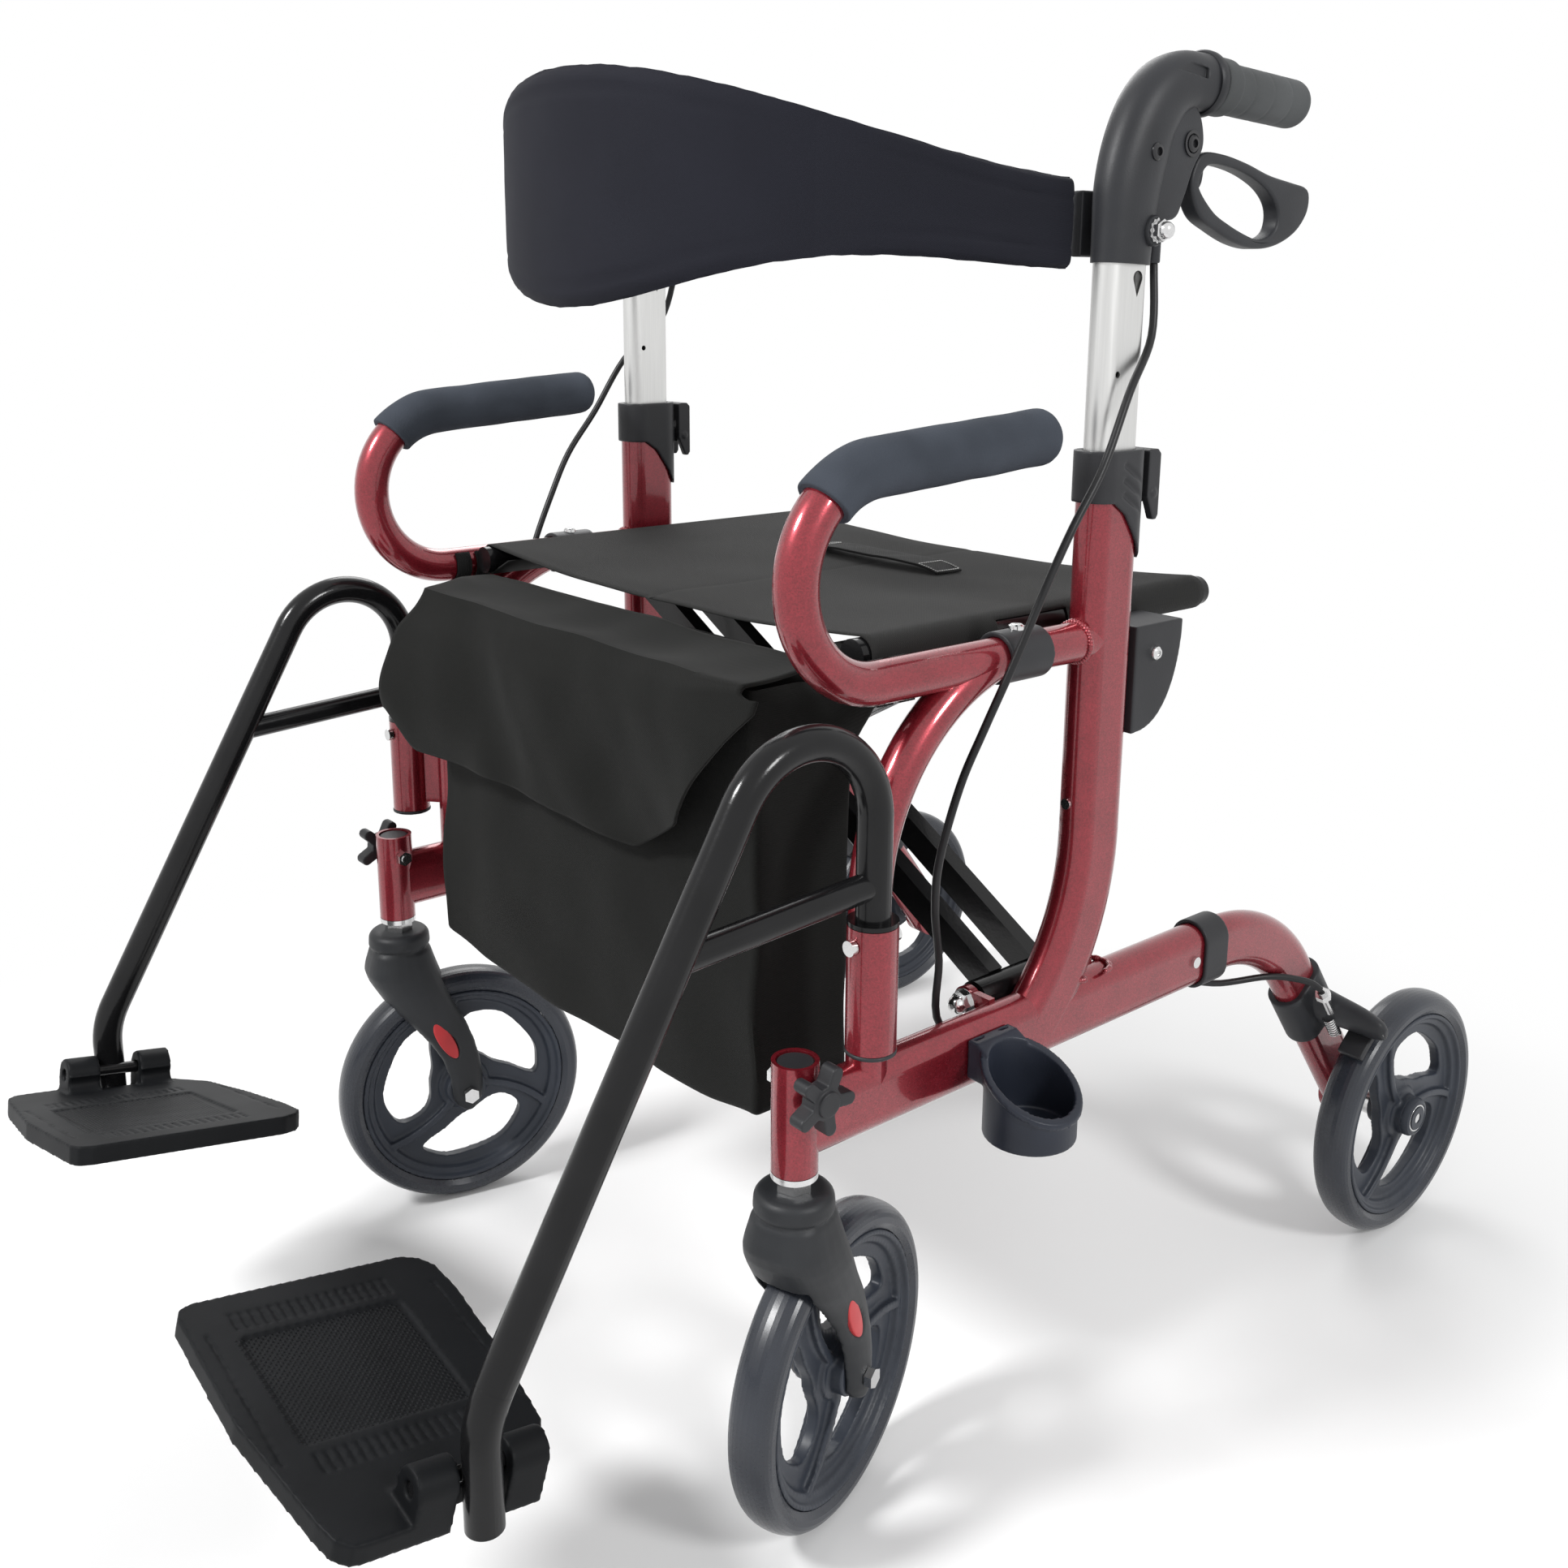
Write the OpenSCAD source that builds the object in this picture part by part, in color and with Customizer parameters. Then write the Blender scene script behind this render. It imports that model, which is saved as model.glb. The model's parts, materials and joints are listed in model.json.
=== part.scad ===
// Rollator transport chair: a folding walker whose seat, flip-over backrest and
// swing-away footrests turn it into a transport chair.
// Millimetres, Z up, the footrests point along -Y and the rider's left is +X.
// Each sub-part is drawn alone by setting node to its name.

/* [Size] */
// Distance between the middle planes of the two side frames
track = 486; // [450:2:530]
// Distance from the caster stems back to the rear axles
wheelbase = 601; // [570:1:650]
// Height of the seat rails above the lower tubes
rail_rise = 247; // [225:1:275]
// Height of the armrest tube above the seat rail
arm_rise = 119; // [105:1:135]
// Height of the push handles above the seat rails
handle_rise = 332; // [300:1:360]

/* [Wheels] */
// Outer diameter of all four wheels
wheel_d = 200; // [185:1:215]
// Width of the tyres
tyre_w = 29.5; // [26:0.5:33]
// Trail of the front casters
trail = 45; // [38:1:50]
// Swivel of the left caster at rest
caster_yaw_left = 18.5; // [-40:0.1:40]
// Swivel of the right caster at rest
caster_yaw_right = -13; // [-40:0.1:40]
// Number of spokes in each wheel
spokes = 3; // [3:1:5]

/* [Tubes] */
// Tall side of the oval frame tube
oval_h = 45; // [42:0.5:48]
// Narrow side of the oval frame tube
oval_w = 25; // [24:0.5:27]
// Diameter of the round frame tube
tube_d = 25; // [22:0.5:26]
// Wall of the frame tubes
wall = 1.7; // [1.5:0.1:2]
// Diameter of the footrest tube
hanger_d = 20; // [18:0.5:21]
// Diameter of the seat tubes
seat_tube_d = 20; // [18:0.5:21]

/* [Upholstery] */
// Outer diameter of the foam arm pads
pad_d = 33; // [30:0.5:36]
// Forward bulge of the backrest band
back_depth = 216; // [200:1:224]
// Height of the backrest band in the middle
back_h = 140; // [110:1:150]
// Thickness of the backrest band
back_t = 10; // [8:0.5:11]
// Sag of the seat sling in the middle
seat_sag = 8; // [2:0.5:14]
// Depth of the bag from front to back
bag_depth = 74; // [60:1:90]
// Height of the bag
bag_h = 270; // [220:1:275]

/* [Footrests] */
// Width of a footplate across the chair
plate_w = 188; // [170:1:194]
// Length of a footplate along the chair
plate_l = 150; // [135:1:158]
// Rise of the toe end of the footplates
plate_pitch = 10.8; // [0:0.1:14]
// Upward lean of the left footplate's inner edge
plate_lean_left = 7.5; // [0:0.5:10]
// Upward lean of the right footplate's inner edge
plate_lean_right = 13; // [0:0.5:16]

/* [Cane cup] */
// Outer diameter of the cane cup
cup_d = 57; // [50:1:66]
// Height of the cane cup at the tube side
cup_h = 51; // [40:1:70]

/* [Hidden] */
$fn = 48;
// Sub-part to draw, or "all"

// Colours of the photographed materials
red = [0.55, 0.10, 0.15];
black = [0.10, 0.10, 0.11];
gloss_black = [0.06, 0.06, 0.07];
rubber = [0.13, 0.14, 0.16];
foam = [0.17, 0.20, 0.25];
silver = [0.78, 0.78, 0.77];
steel = [0.70, 0.70, 0.71];
cloth = [0.11, 0.11, 0.11];
band = [0.12, 0.13, 0.17];

// Fits: loose between moving bodies, close inside one body, running on an axle
gap = 0.4;
fit = 0.1;
run = 0.06;
// Bends are this much fuller than the straight tubes that run into them
grow = 0.12;
lap = 1.5;

// Heights of the frame
wheel_r = wheel_d / 2;
xf = track / 2;
lower_z = wheel_d + 84;
rail_z = lower_z + rail_rise;
bend_r = arm_rise / 2;
arm_slope = 3.9;

// Side frame stations along Y
post_y = 248;
front_y = 55;
lower_end = wheelbase - 217;
post_bend_r = 170;
post_bend_z = lower_z + post_bend_r * sin(45);
post_top = rail_z + 109;
front_bend_r = 130;
front_bend_z = rail_z - front_bend_r * sin(73) - 2;
arm_y = front_y + 2;
arm_p = [arm_y - bend_r * sin(arm_slope), rail_z + bend_r * (1 + cos(arm_slope))];
arm_l = 124;
stem_d = 27.5;
stem_z0 = lower_z - 29;
stem_z1 = lower_z + 39;
stem_bore = 12;
knob_z = lower_z + 23;
recv = [xf + 28, front_y - 24];
recv_d = hanger_d + 9;
recv_z0 = lower_z + 48;
recv_z1 = lower_z + 121;

// Oval of the rear leg inside the lower tube, and of the slimmer handle tube
tele_h = oval_h - 2 * wall - 0.6;
tele_w = oval_w - 2 * wall - 0.6;
hand_h = tele_h - 2.6;
hand_w = tele_w - 2;

// Rear leg
leg_r = 130;
leg_a = 53.13;
leg_dir = [0, cos(leg_a), -sin(leg_a)];
leg_corner = wheelbase - (lower_z - wheel_r) / tan(leg_a);
leg_y0 = leg_corner - leg_r * tan(leg_a / 2);
leg_y1 = leg_y0 + leg_r * sin(leg_a);
leg_z1 = lower_z - leg_r * (1 - cos(leg_a));
leg_len = (leg_z1 - wheel_r) / sin(leg_a);
leg_end_d = 40;
rear_x = xf + 45;
axle_d = 12;

// Cross brace and seat
pivot_x = xf - 24;
pivot_z = lower_z + 16;
pivot_d = 22;
pivot_y0 = 172;
pivot_y1 = 256;
seat_x = xf - 35;
seat_z = rail_z + 7;
seat_y0 = 70;
seat_y1 = 398;
sleeve_r = seat_tube_d / 2 + 1.7;
brace_a = atan2(seat_z - pivot_z, pivot_x + seat_x);
cross_z = pivot_z + pivot_x * tan(brace_a);
bar_h = 20;
bar_t = 12;
bars_a = [194, 234];
bars_b = [207, 221];
bar_wall = 2;

// Height lock, handle tube and handle
lock_w = oval_w + 5;
lock_h = oval_h + 5;
lock_top = post_top + 8;
lever_pin = [280, post_top - 20];
tele_z0 = post_top - 128;
grip_z = rail_z + handle_rise;
foot_z = grip_z - 106;
tele_z1 = foot_z + 42;
shell_n = 28;
shell_path = [[249, -106], [250.5, -86], [254, -64], [259, -42], [266.5, -22], [278, -8], [294, -1],
    [311, 0], [322, 0]];
shell_a = [21.2, 21.4, 21.6, 21.6, 20.6, 19, 17.8, 17.2, 17];
shell_b = [13, 13.8, 15, 15.8, 16.3, 16.6, 16.8, 17, 17];
brake_pin = [297, grip_z - 36];
grip_y0 = 322;
grip_y1 = 416;
grip_slope = 3;
spigot_d = 20;

// Backrest
back_x = xf - 21;
back_y = 232;
back_end = 52;
back_zend = grip_z - 83;
back_pin = [261, grip_z - 87];
back_k = 40;
back_bolt = 8;

// Footrest hanger, hand-placed in the plane of the receiver
hang_r = 50;
hang_slope = 60;
hang_top = rail_z - 15;
hang_c = [recv[1] - hang_r, hang_top - hang_r];
hang_t = [hang_c[0] - hang_r * sin(hang_slope), hang_c[1] + hang_r * cos(hang_slope)];
hang_z0 = wheel_d - 41;
hang_y = -220;
knee_r = 60;
knee_z = hang_t[1] - (hang_t[0] - hang_y) * tan(hang_slope);
knee_l = knee_r * tan((90 - hang_slope) / 2);
pin_z = wheel_d - 14;
pin_d = 8;
pin_in = 9;
plate_t = 12;
plate_drop = 12;
notch = 13;
k_front = hanger_d / 2 / cos(plate_pitch) + 11 * tan(plate_pitch) + 0.6;
k_rear = hanger_d / 2 / cos(plate_pitch) + (plate_drop + plate_t) * tan(plate_pitch) + 0.6;
plate_y = -8;
knuckle_w = 11;
knuckle_l = 22;

// Bag and cup holder
bag_w = 2 * (xf - 55);
bag_y0 = 16;
bag_top = rail_z - 9;
cup_gap = 8;
cup_x = xf + oval_w / 2 + cup_gap + cup_d / 2;
cup_y = 145;
cup_z = lower_z - 38;
cup_lip = 2.5;

// The origin sits under the middle of the whole chair's box
out_left = cup_x + cup_d / 2 + cup_lip;
out_right = rear_x + 24.5;
shift_x = -(out_left - out_right) / 2;
plate_front = -hang_y + (plate_l / 2 - plate_y + 1) * cos(plate_pitch)
    + (plate_drop + plate_t - (plate_w / 2 - pin_in) * sin(plate_lean_left)) * sin(plate_pitch);
shift_y = -(wheelbase + wheel_r - plate_front) / 2;

// Brake cable: handle, past the rail, inside the lower tube, out to the brake
cable_d = 5;
cable_sides = 8;
cable_steps = 4;
cable_pts = [
    [xf, 279, foot_z + 9], [xf + 1, 280, foot_z - 4], [xf + 9, 271, foot_z - 42],
        [xf + 19, 240, rail_z + 152],
    [xf + 24, 213, rail_z + 110], [xf + 25, 187, rail_z + 77], [xf + 23, 168, rail_z + 44],
        [xf + 20, 148, rail_z + 4],
    [xf + 13, 131, rail_z - 37], [xf + 4, 122, lower_z + 175], [xf - 5, 116, lower_z + 128],
        [xf - 13, 122, lower_z + 92],
    [xf - 20, 134, lower_z + 54], [xf - 22, 139, lower_z + 8], [xf - 19, 190, lower_z - 23],
        [xf - 18, 230, lower_z - 27],
    [xf - 18, 300, lower_z - 28], [xf - 18, wheelbase - 221, lower_z - 32],
        [xf - 10, wheelbase - 175, lower_z - 43],
    [xf + 8, wheelbase - 138, lower_z - 42], [xf + 22, wheelbase - 110, lower_z - 49],
        [xf + 29, wheelbase - 101, lower_z - 56]
];

// Turned and swept helpers
function unit(v) = v / norm(v);
function lerp(a, b, t) = a + (b - a) * t;
function spline(p, i, t) =
    let (a = p[max(i - 1, 0)], b = p[i], c = p[i + 1], d = p[min(i + 2, len(p) - 1)])
    0.5 * (2 * b + (c - a) * t + (2 * a - 5 * b + 4 * c - d) * t * t + (3 * b - a - 3 * c + d) * t * t * t);
function smooth(p, k) = [for (i = [0 : len(p) - 2], j = [0 : k - 1]) spline(p, i, j / k), p[len(p) - 1]];
function super(t, e) = sign(t) * pow(abs(t), e);
function oval_ring(c, u, v, a, b, n, e) =
    [for (i = [0 : n - 1]) c + u * a * super(cos(360 * i / n), e) + v * b * super(sin(360 * i / n), e)];
function tangent(p, i) = unit(p[min(i + 1, len(p) - 1)] - p[max(i - 1, 0)]);

module place() translate([shift_x, shift_y, 0]) children();
module left() place() children();
module right() place() mirror([1, 0, 0]) children();

module loft(rings) {
    n = len(rings[0]);
    m = len(rings);
    sides = [for (j = [0 : m - 2], i = [0 : n - 1])
        [j * n + i, (j + 1) * n + i, (j + 1) * n + (i + 1) % n, j * n + (i + 1) % n]];
    caps = [[for (i = [0 : n - 1]) i], [for (i = [n - 1 : -1 : 0]) (m - 1) * n + i]];
    polyhedron([for (r = rings) each r], concat(sides, caps), convexity = 6);
}

module cord(pts, d, n) {
    rings = [for (i = [0 : len(pts) - 1])
        let (t = tangent(pts, i), u = unit(cross(t, [1, 0, 0])), v = cross(t, u))
        oval_ring(pts[i], u, v, d / 2, d / 2, n, 1)];
    loft(rings);
}

module rod_x(d, x0, x1, y, z) translate([x0, y, z]) rotate([0, 90, 0]) cylinder(d = d, h = x1 - x0);
module rod_y(d, y0, y1, x, z) translate([x, y0, z]) rotate([-90, 0, 0]) cylinder(d = d, h = y1 - y0);
module rod_z(d, z0, z1, x, y) translate([x, y, z0]) cylinder(d = d, h = z1 - z0);
module hex_x(d, x0, x1, y, z) translate([x0, y, z]) rotate([0, 90, 0])
    cylinder(d = d, h = x1 - x0, $fn = 6);

// Solid of a Y-Z outline between two X planes
module slab(x0, x1) translate([x0, 0, 0]) rotate([90, 0, 90]) linear_extrude(x1 - x0) children();
// Bend in a Y-Z plane; the section's first axis is radial
module bend(x, yc, zc, r, a0, a1)
    translate([x, yc, zc]) rotate([90, 0, 90]) rotate([0, 0, a0]) rotate_extrude(angle = a1 - a0)
        translate([r, 0]) children();
// Straight tube from a point in a Y-Z plane along an angle above +Y
module ray(x, y, z, a, len) translate([x, y, z]) rotate([a - 90, 0, 0]) linear_extrude(len) children();

module flat_oval(long, short) {
    square([long - short, short], center = true);
    for (s = [-1, 1]) translate([s * (long - short) / 2, 0]) circle(d = short);
}
module rounded_rod(d, h, r)
    rotate_extrude() {
        square([d / 2 - r, h]);
        square([d / 2, h - r]);
        translate([d / 2 - r, h - r]) intersection() {
            circle(r);
            square(r);
        }
    }
module rounded_plate(w, l, r) {
    square([w - 2 * r, l], center = true);
    square([w, l - 2 * r], center = true);
    for (i = [-1, 1], j = [-1, 1]) translate([i * (w / 2 - r), j * (l / 2 - r)]) circle(r);
}

// Side frame: lower tube, stem tube, rear post, front post, rail with arm loop, receiver
module arm_line() {
    rod_y(tube_d, arm_y - lap, post_y, xf, rail_z);
    bend(xf, arm_y, rail_z + bend_r, bend_r, 90 + arm_slope, 270) circle(d = tube_d + grow);
    ray(xf, arm_p[0] - lap, arm_p[1] - lap * sin(arm_slope), arm_slope, arm_l + lap) circle(d = tube_d);
}
module brace_lug(y) translate([0, y, 0]) rotate([90, 0, 0]) linear_extrude(5, center = true) {
    translate([pivot_x, pivot_z]) circle(r = 10);
    translate([pivot_x, pivot_z - 10]) square([xf - pivot_x - 4, 18]);
}
module side_frame() {
    lug_in = 5.5;
    recv_v = [recv[0] - xf, recv[1] - front_y];
    difference() {
        union() {
            translate([xf, 4, lower_z]) rotate([-90, 0, 0]) linear_extrude(lower_end - 4) rotate(90)
                flat_oval(oval_h, oval_w);
            rod_z(stem_d, stem_z0, stem_z1, xf, 0);
            rod_z(tube_d, lower_z, front_bend_z + lap, xf, front_y);
            bend(xf, front_y + front_bend_r, front_bend_z, front_bend_r, 107, 180)
                circle(d = tube_d + grow);
            arm_line();
            translate([xf, post_y, post_bend_z - lap]) linear_extrude(post_top - post_bend_z + lap)
                rotate(90) flat_oval(oval_h, oval_w);
            bend(xf, post_y - post_bend_r, post_bend_z, post_bend_r, -45, 0)
                flat_oval(oval_h + grow, oval_w + grow);
            rod_z(recv_d, recv_z0, recv_z1, recv[0], recv[1]);
            translate([xf, front_y, recv_z0 + 6]) rotate([0, 0, atan2(recv_v[1], recv_v[0])])
                translate([0, -4, 0]) cube([norm(recv_v), 8, recv_z1 - recv_z0 - 12]);
            for (y = [pivot_y0 - lug_in, pivot_y1 + lug_in]) brace_lug(y);
        }
        translate([xf, post_y, post_bend_z + 4]) linear_extrude(post_top - post_bend_z)
            rotate(90) flat_oval(oval_h - 2 * wall, oval_w - 2 * wall);
        translate([xf, lower_end - 52, lower_z]) rotate([-90, 0, 0]) linear_extrude(60)
            rotate(90) flat_oval(oval_h - 2 * wall, oval_w - 2 * wall);
        rod_z(stem_bore + 2 * run, stem_z0 - 1, stem_z0 + 46, xf, 0);
        rod_z(stem_d - 5, stem_z1 - 3, stem_z1 + 1, xf, 0);
        rod_z(hanger_d + 2 * gap, recv_z0 - 1, recv_z1 + 1, recv[0], recv[1]);
        rod_x(6 + fit, xf - 30, xf + 30, 0, knob_z);
        for (y = [pivot_y0 - lug_in, pivot_y1 + lug_in]) rod_y(10 + fit, y - 5, y + 5, pivot_x, pivot_z);
    }
}
module side_frame_left() color(red) left() side_frame();
module side_frame_right() color(red) right() side_frame();

// Bent rear leg, plugged into the lower tube and flattened at the axle
module rear_leg() difference() {
    union() {
        translate([xf, lower_end - 48, lower_z]) rotate([-90, 0, 0])
            linear_extrude(leg_y0 - lower_end + 48 + lap)
            rotate(90) flat_oval(tele_h, tele_w);
        bend(xf, leg_y0, lower_z - leg_r, leg_r, 90 - leg_a, 90) flat_oval(tele_h + grow, tele_w + grow);
        ray(xf, leg_y1 - lap * cos(leg_a), leg_z1 + lap * sin(leg_a), -leg_a, leg_len + lap) rotate(90)
            flat_oval(tele_h, tele_w);
        rod_x(leg_end_d, xf - tele_w / 2, xf + tele_w / 2, wheelbase, wheel_r);
    }
    rod_x(axle_d + fit, xf - 40, xf + 40, wheelbase, wheel_r);
}
module rear_leg_left() color(red) left() rear_leg();
module rear_leg_right() color(red) right() rear_leg();

// Plastic trim on the tubes: leg collar, stem cap and receiver ring
module tube_collars() {
    collar = 26;
    over = 10;
    difference() {
        translate([xf, lower_end - collar + over, lower_z]) rotate([-90, 0, 0]) linear_extrude(collar)
            rotate(90) flat_oval(oval_h + 6, oval_w + 6);
        translate([xf, lower_end - collar, lower_z]) rotate([-90, 0, 0]) linear_extrude(collar + fit)
            rotate(90) flat_oval(oval_h + 2 * fit, oval_w + 2 * fit);
        translate([xf, lower_end - 1, lower_z]) rotate([-90, 0, 0]) linear_extrude(collar)
            rotate(90) flat_oval(tele_h + 2 * fit, tele_w + 2 * fit);
    }
    rod_z(stem_d - 5 - 2 * fit, stem_z1 - 3 + fit, stem_z1 - 0.8, xf, 0);
    difference() {
        rod_z(recv_d + 1, recv_z0 - 3, recv_z0 - fit, recv[0], recv[1]);
        rod_z(hanger_d + 2 * gap, recv_z0 - 4, recv_z0 + 1, recv[0], recv[1]);
    }
}
module tube_collars_left() color(black) left() tube_collars();
module tube_collars_right() color(black) right() tube_collars();

// Foam sleeve over the arm tube, with a closed round rear end
module arm_pad() {
    wrap = 40;
    cap = 15;
    difference() {
        union() {
            bend(xf, arm_y, rail_z + bend_r, bend_r, 90 + arm_slope, 90 + arm_slope + wrap)
                circle(d = pad_d + grow);
            translate([xf, arm_p[0] - lap, arm_p[1] - lap * sin(arm_slope)]) rotate([arm_slope - 90, 0, 0])
                rounded_rod(pad_d, arm_l + cap + lap, 11);
        }
        bend(xf, arm_y, rail_z + bend_r, bend_r, 90 + arm_slope, 90 + arm_slope + wrap + 5)
            circle(d = tube_d + grow + 2 * fit);
        ray(xf, arm_p[0] - lap, arm_p[1] - lap * sin(arm_slope), arm_slope, arm_l + lap + fit)
            circle(d = tube_d + 2 * fit);
    }
}
module arm_pad_left() color(foam) left() arm_pad();
module arm_pad_right() color(foam) right() arm_pad();

// Clip on the seat rail with an open cradle for the seat tube
module seat_saddle() {
    y0 = 152;
    len = 36;
    clip_d = tube_d + 7;
    difference() {
        union() {
            rod_y(clip_d, y0, y0 + len, xf, rail_z);
            translate([seat_x - 12, y0 + 6, rail_z - 12])
                cube([xf - seat_x, len - 12, seat_z - rail_z + 10]);
        }
        rod_y(tube_d + 2 * fit, y0 - 1, y0 + len + 1, xf, rail_z);
        rod_y(2 * (sleeve_r + gap), y0 - 1, y0 + len + 1, seat_x, seat_z);
        translate([seat_x - 30, y0 - 1, seat_z]) cube([30 + sleeve_r + gap, len + 2, 30]);
    }
    rod_z(7, rail_z + clip_d / 2 - 1, rail_z + clip_d / 2 + 1.4, xf, y0 + len / 2);
}
module seat_saddle_left() color(black) left() seat_saddle();
module seat_saddle_right() color(black) right() seat_saddle();

// Quarter-round rest behind the rear post, under the seat tube's end
module seat_rest() {
    back = post_y + oval_h / 2 + fit;
    reach = 48;
    drop = 70;
    top = seat_z - 2;
    difference() {
        slab(seat_x - 10, xf + 12) intersection() {
            polygon([for (a = [0 : 6 : 90]) [back + reach * pow(cos(a), 0.8), top - drop * sin(a)],
                [back, top]]);
            translate([back, top - drop - 1]) square([reach + 2, drop + 1]);
        }
        translate([seat_x - 30, back - 1, seat_z - sleeve_r - gap]) cube([30 + sleeve_r + gap, 80, 60]);
        translate([seat_x - 20, back - 1, top - drop - 1]) cube([xf - seat_x + 8, 90, drop - 18]);
    }
    rod_x(9, xf + 12, xf + 13.6, back + 19, rail_z - 14);
}
module seat_rest_left() color(black) left() seat_rest();
module seat_rest_right() color(black) right() seat_rest();

// Height lock: moulded collar on the post top with slanted grip grooves
module lock_housing() difference() {
    union() {
        intersection() {
            translate([xf, post_y, post_top - 70]) linear_extrude(lock_top - post_top + 70) rotate(90)
                flat_oval(lock_h, lock_w);
            slab(xf - lock_w, xf + lock_w) polygon([
                [post_y - 30, lock_top], [post_y - 30, post_top - 23], [post_y - 10, post_top - 23.5],
                    [post_y + 1, post_top - 31],
                [post_y + 10, post_top - 44], [post_y + 17, post_top - 55], [post_y + 22, post_top - 60],
                [post_y + 30, post_top - 60], [post_y + 30, lock_top]]);
        }
        slab(xf - 5, xf + 5) {
            translate([post_y + 20, lever_pin[1] - 6]) square([lever_pin[0] - post_y - 20, 12]);
            translate(lever_pin) circle(d = 12);
        }
    }
    translate([xf, post_y, post_top - 80]) linear_extrude(80 + fit) rotate(90)
        flat_oval(oval_h + 2 * fit, oval_w + 2 * fit);
    translate([xf, post_y, post_top - 80]) linear_extrude(120) rotate(90)
        flat_oval(hand_h + 2 * gap, hand_w + 2 * gap);
    rod_x(5 + fit, xf - 20, xf + 20, lever_pin[0], lever_pin[1]);
    for (i = [0 : 2]) translate([xf + lock_w / 2, post_y + 7, post_top - 6 - 9 * i]) rotate([-32, 0, 0])
        cube([3, 22, 3.2], center = true);
}
module lock_housing_left() color(black) left() lock_housing();
module lock_housing_right() color(black) right() lock_housing();

// Release lever of the height lock, straddling the lug on its pin
module lock_lever() {
    y0 = post_y + lock_h / 2 + 1.2;
    y1 = 286;
    difference() {
        slab(xf - 11, xf + 11) polygon([
            [y0, post_top + 6], [y0, post_top - 22], [lever_pin[0] + 1, post_top - 37],
                [y1 - 2, post_top - 37],
            [y1, post_top - 34], [y1, post_top + 4], [y1 - 3, post_top + 7], [y0 + 2, post_top + 7]]);
        translate([xf - 5.5, y0 - 1, post_top - 40]) cube([11, 6.8 + lever_pin[0] - y0 + 1, 32]);
        rod_x(5 + fit, xf - 20, xf + 20, lever_pin[0], lever_pin[1]);
    }
    rod_x(5, xf - 12, xf + 12, lever_pin[0], lever_pin[1]);
}
module lock_lever_left() color(black) left() lock_lever();
module lock_lever_right() color(black) right() lock_lever();

// Telescoping aluminium tube with a drop-shaped hole below the handle
module handle_tube() {
    hole_z = foot_z - 8;
    bush = 34;
    difference() {
        union() {
            translate([xf, post_y, tele_z0]) linear_extrude(tele_z1 - tele_z0) rotate(90)
                flat_oval(hand_h, hand_w);
            translate([xf, post_y, tele_z0]) linear_extrude(bush) rotate(90)
                flat_oval(tele_h - 0.2, tele_w - 0.2);
        }
        translate([xf, post_y, tele_z0 - 1]) linear_extrude(tele_z1 - tele_z0 - 2) rotate(90)
            flat_oval(hand_h - 2 * wall, hand_w - 2 * wall);
        slab(xf - 20, xf + 20) translate([post_y + 6, hole_z]) {
            circle(d = 8.5);
            polygon([[-4, -1.4], [4, -1.4], [0, -11]]);
        }
        rod_x(4, xf - 20, xf + 20, post_y - 8, foot_z - 64);
        rod_x(back_bolt + 2 * gap, xf - 20, xf + 20, back_pin[0], back_pin[1]);
    }
}
module handle_tube_left() color(silver) left() handle_tube();
module handle_tube_right() color(silver) right() handle_tube();

// Moulded handle: an elbow lofted from the oval tube to the round grip
module shell_elbow() {
    path = smooth([for (p = shell_path) [0, p[0], grip_z + p[1]]], 3);
    sizes = smooth([for (i = [0 : len(shell_path) - 1]) [shell_b[i], shell_a[i], 0]], 3);
    rings = [for (i = [0 : len(path) - 1])
        let (t = tangent(path, i), v = cross(t, [1, 0, 0]))
        oval_ring([xf, path[i][1], path[i][2]], [1, 0, 0], v, sizes[i][0], sizes[i][1], shell_n, 0.86)];
    loft(rings);
}
module handle_shell() difference() {
    union() {
        shell_elbow();
        slab(xf - 10, xf + 10) {
            polygon([[262, grip_z - 78], [286, grip_z - 76], [brake_pin[0], brake_pin[1] - 12],
                [brake_pin[0] + 12, brake_pin[1]],
                [brake_pin[0] + 11, grip_z - 18], [296, grip_z - 6], [262, grip_z - 20]]);
            translate(brake_pin) circle(r = 12);
        }
        ray(xf, grip_y0 - 10, grip_z, 0, 8) circle(d = 36.5);
        ray(xf, grip_y0 + 1 - 5 * cos(grip_slope), grip_z + 5 * sin(grip_slope), -grip_slope, 93)
            circle(d = spigot_d);
    }
    translate([xf, post_y, foot_z - 3]) linear_extrude(tele_z1 - foot_z + 3 + fit) rotate(90)
        flat_oval(hand_h + 2 * fit, hand_w + 2 * fit);
    translate([xf, brake_pin[0] + 12, brake_pin[1]]) cube([8, 56, 60], center = true);
    rod_x(6 + 2 * run, xf - 20, xf + 20, brake_pin[0], brake_pin[1]);
    translate([xf + 16.5, 284, grip_z + 5]) rotate([-8, 0, 0]) cube([4, 26, 6], center = true);
    rod_x(9, xf + 13, xf + 30, 257, grip_z - 43);
    rod_x(back_bolt + 2 * run, xf - 30, xf + 30, back_pin[0], back_pin[1]);
    translate([xf, 280, foot_z - 4]) cylinder(d = cable_d + 2 * gap, h = 22);
}
module handle_shell_left() color(black) left() handle_shell();
module handle_shell_right() color(black) right() handle_shell();

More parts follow.
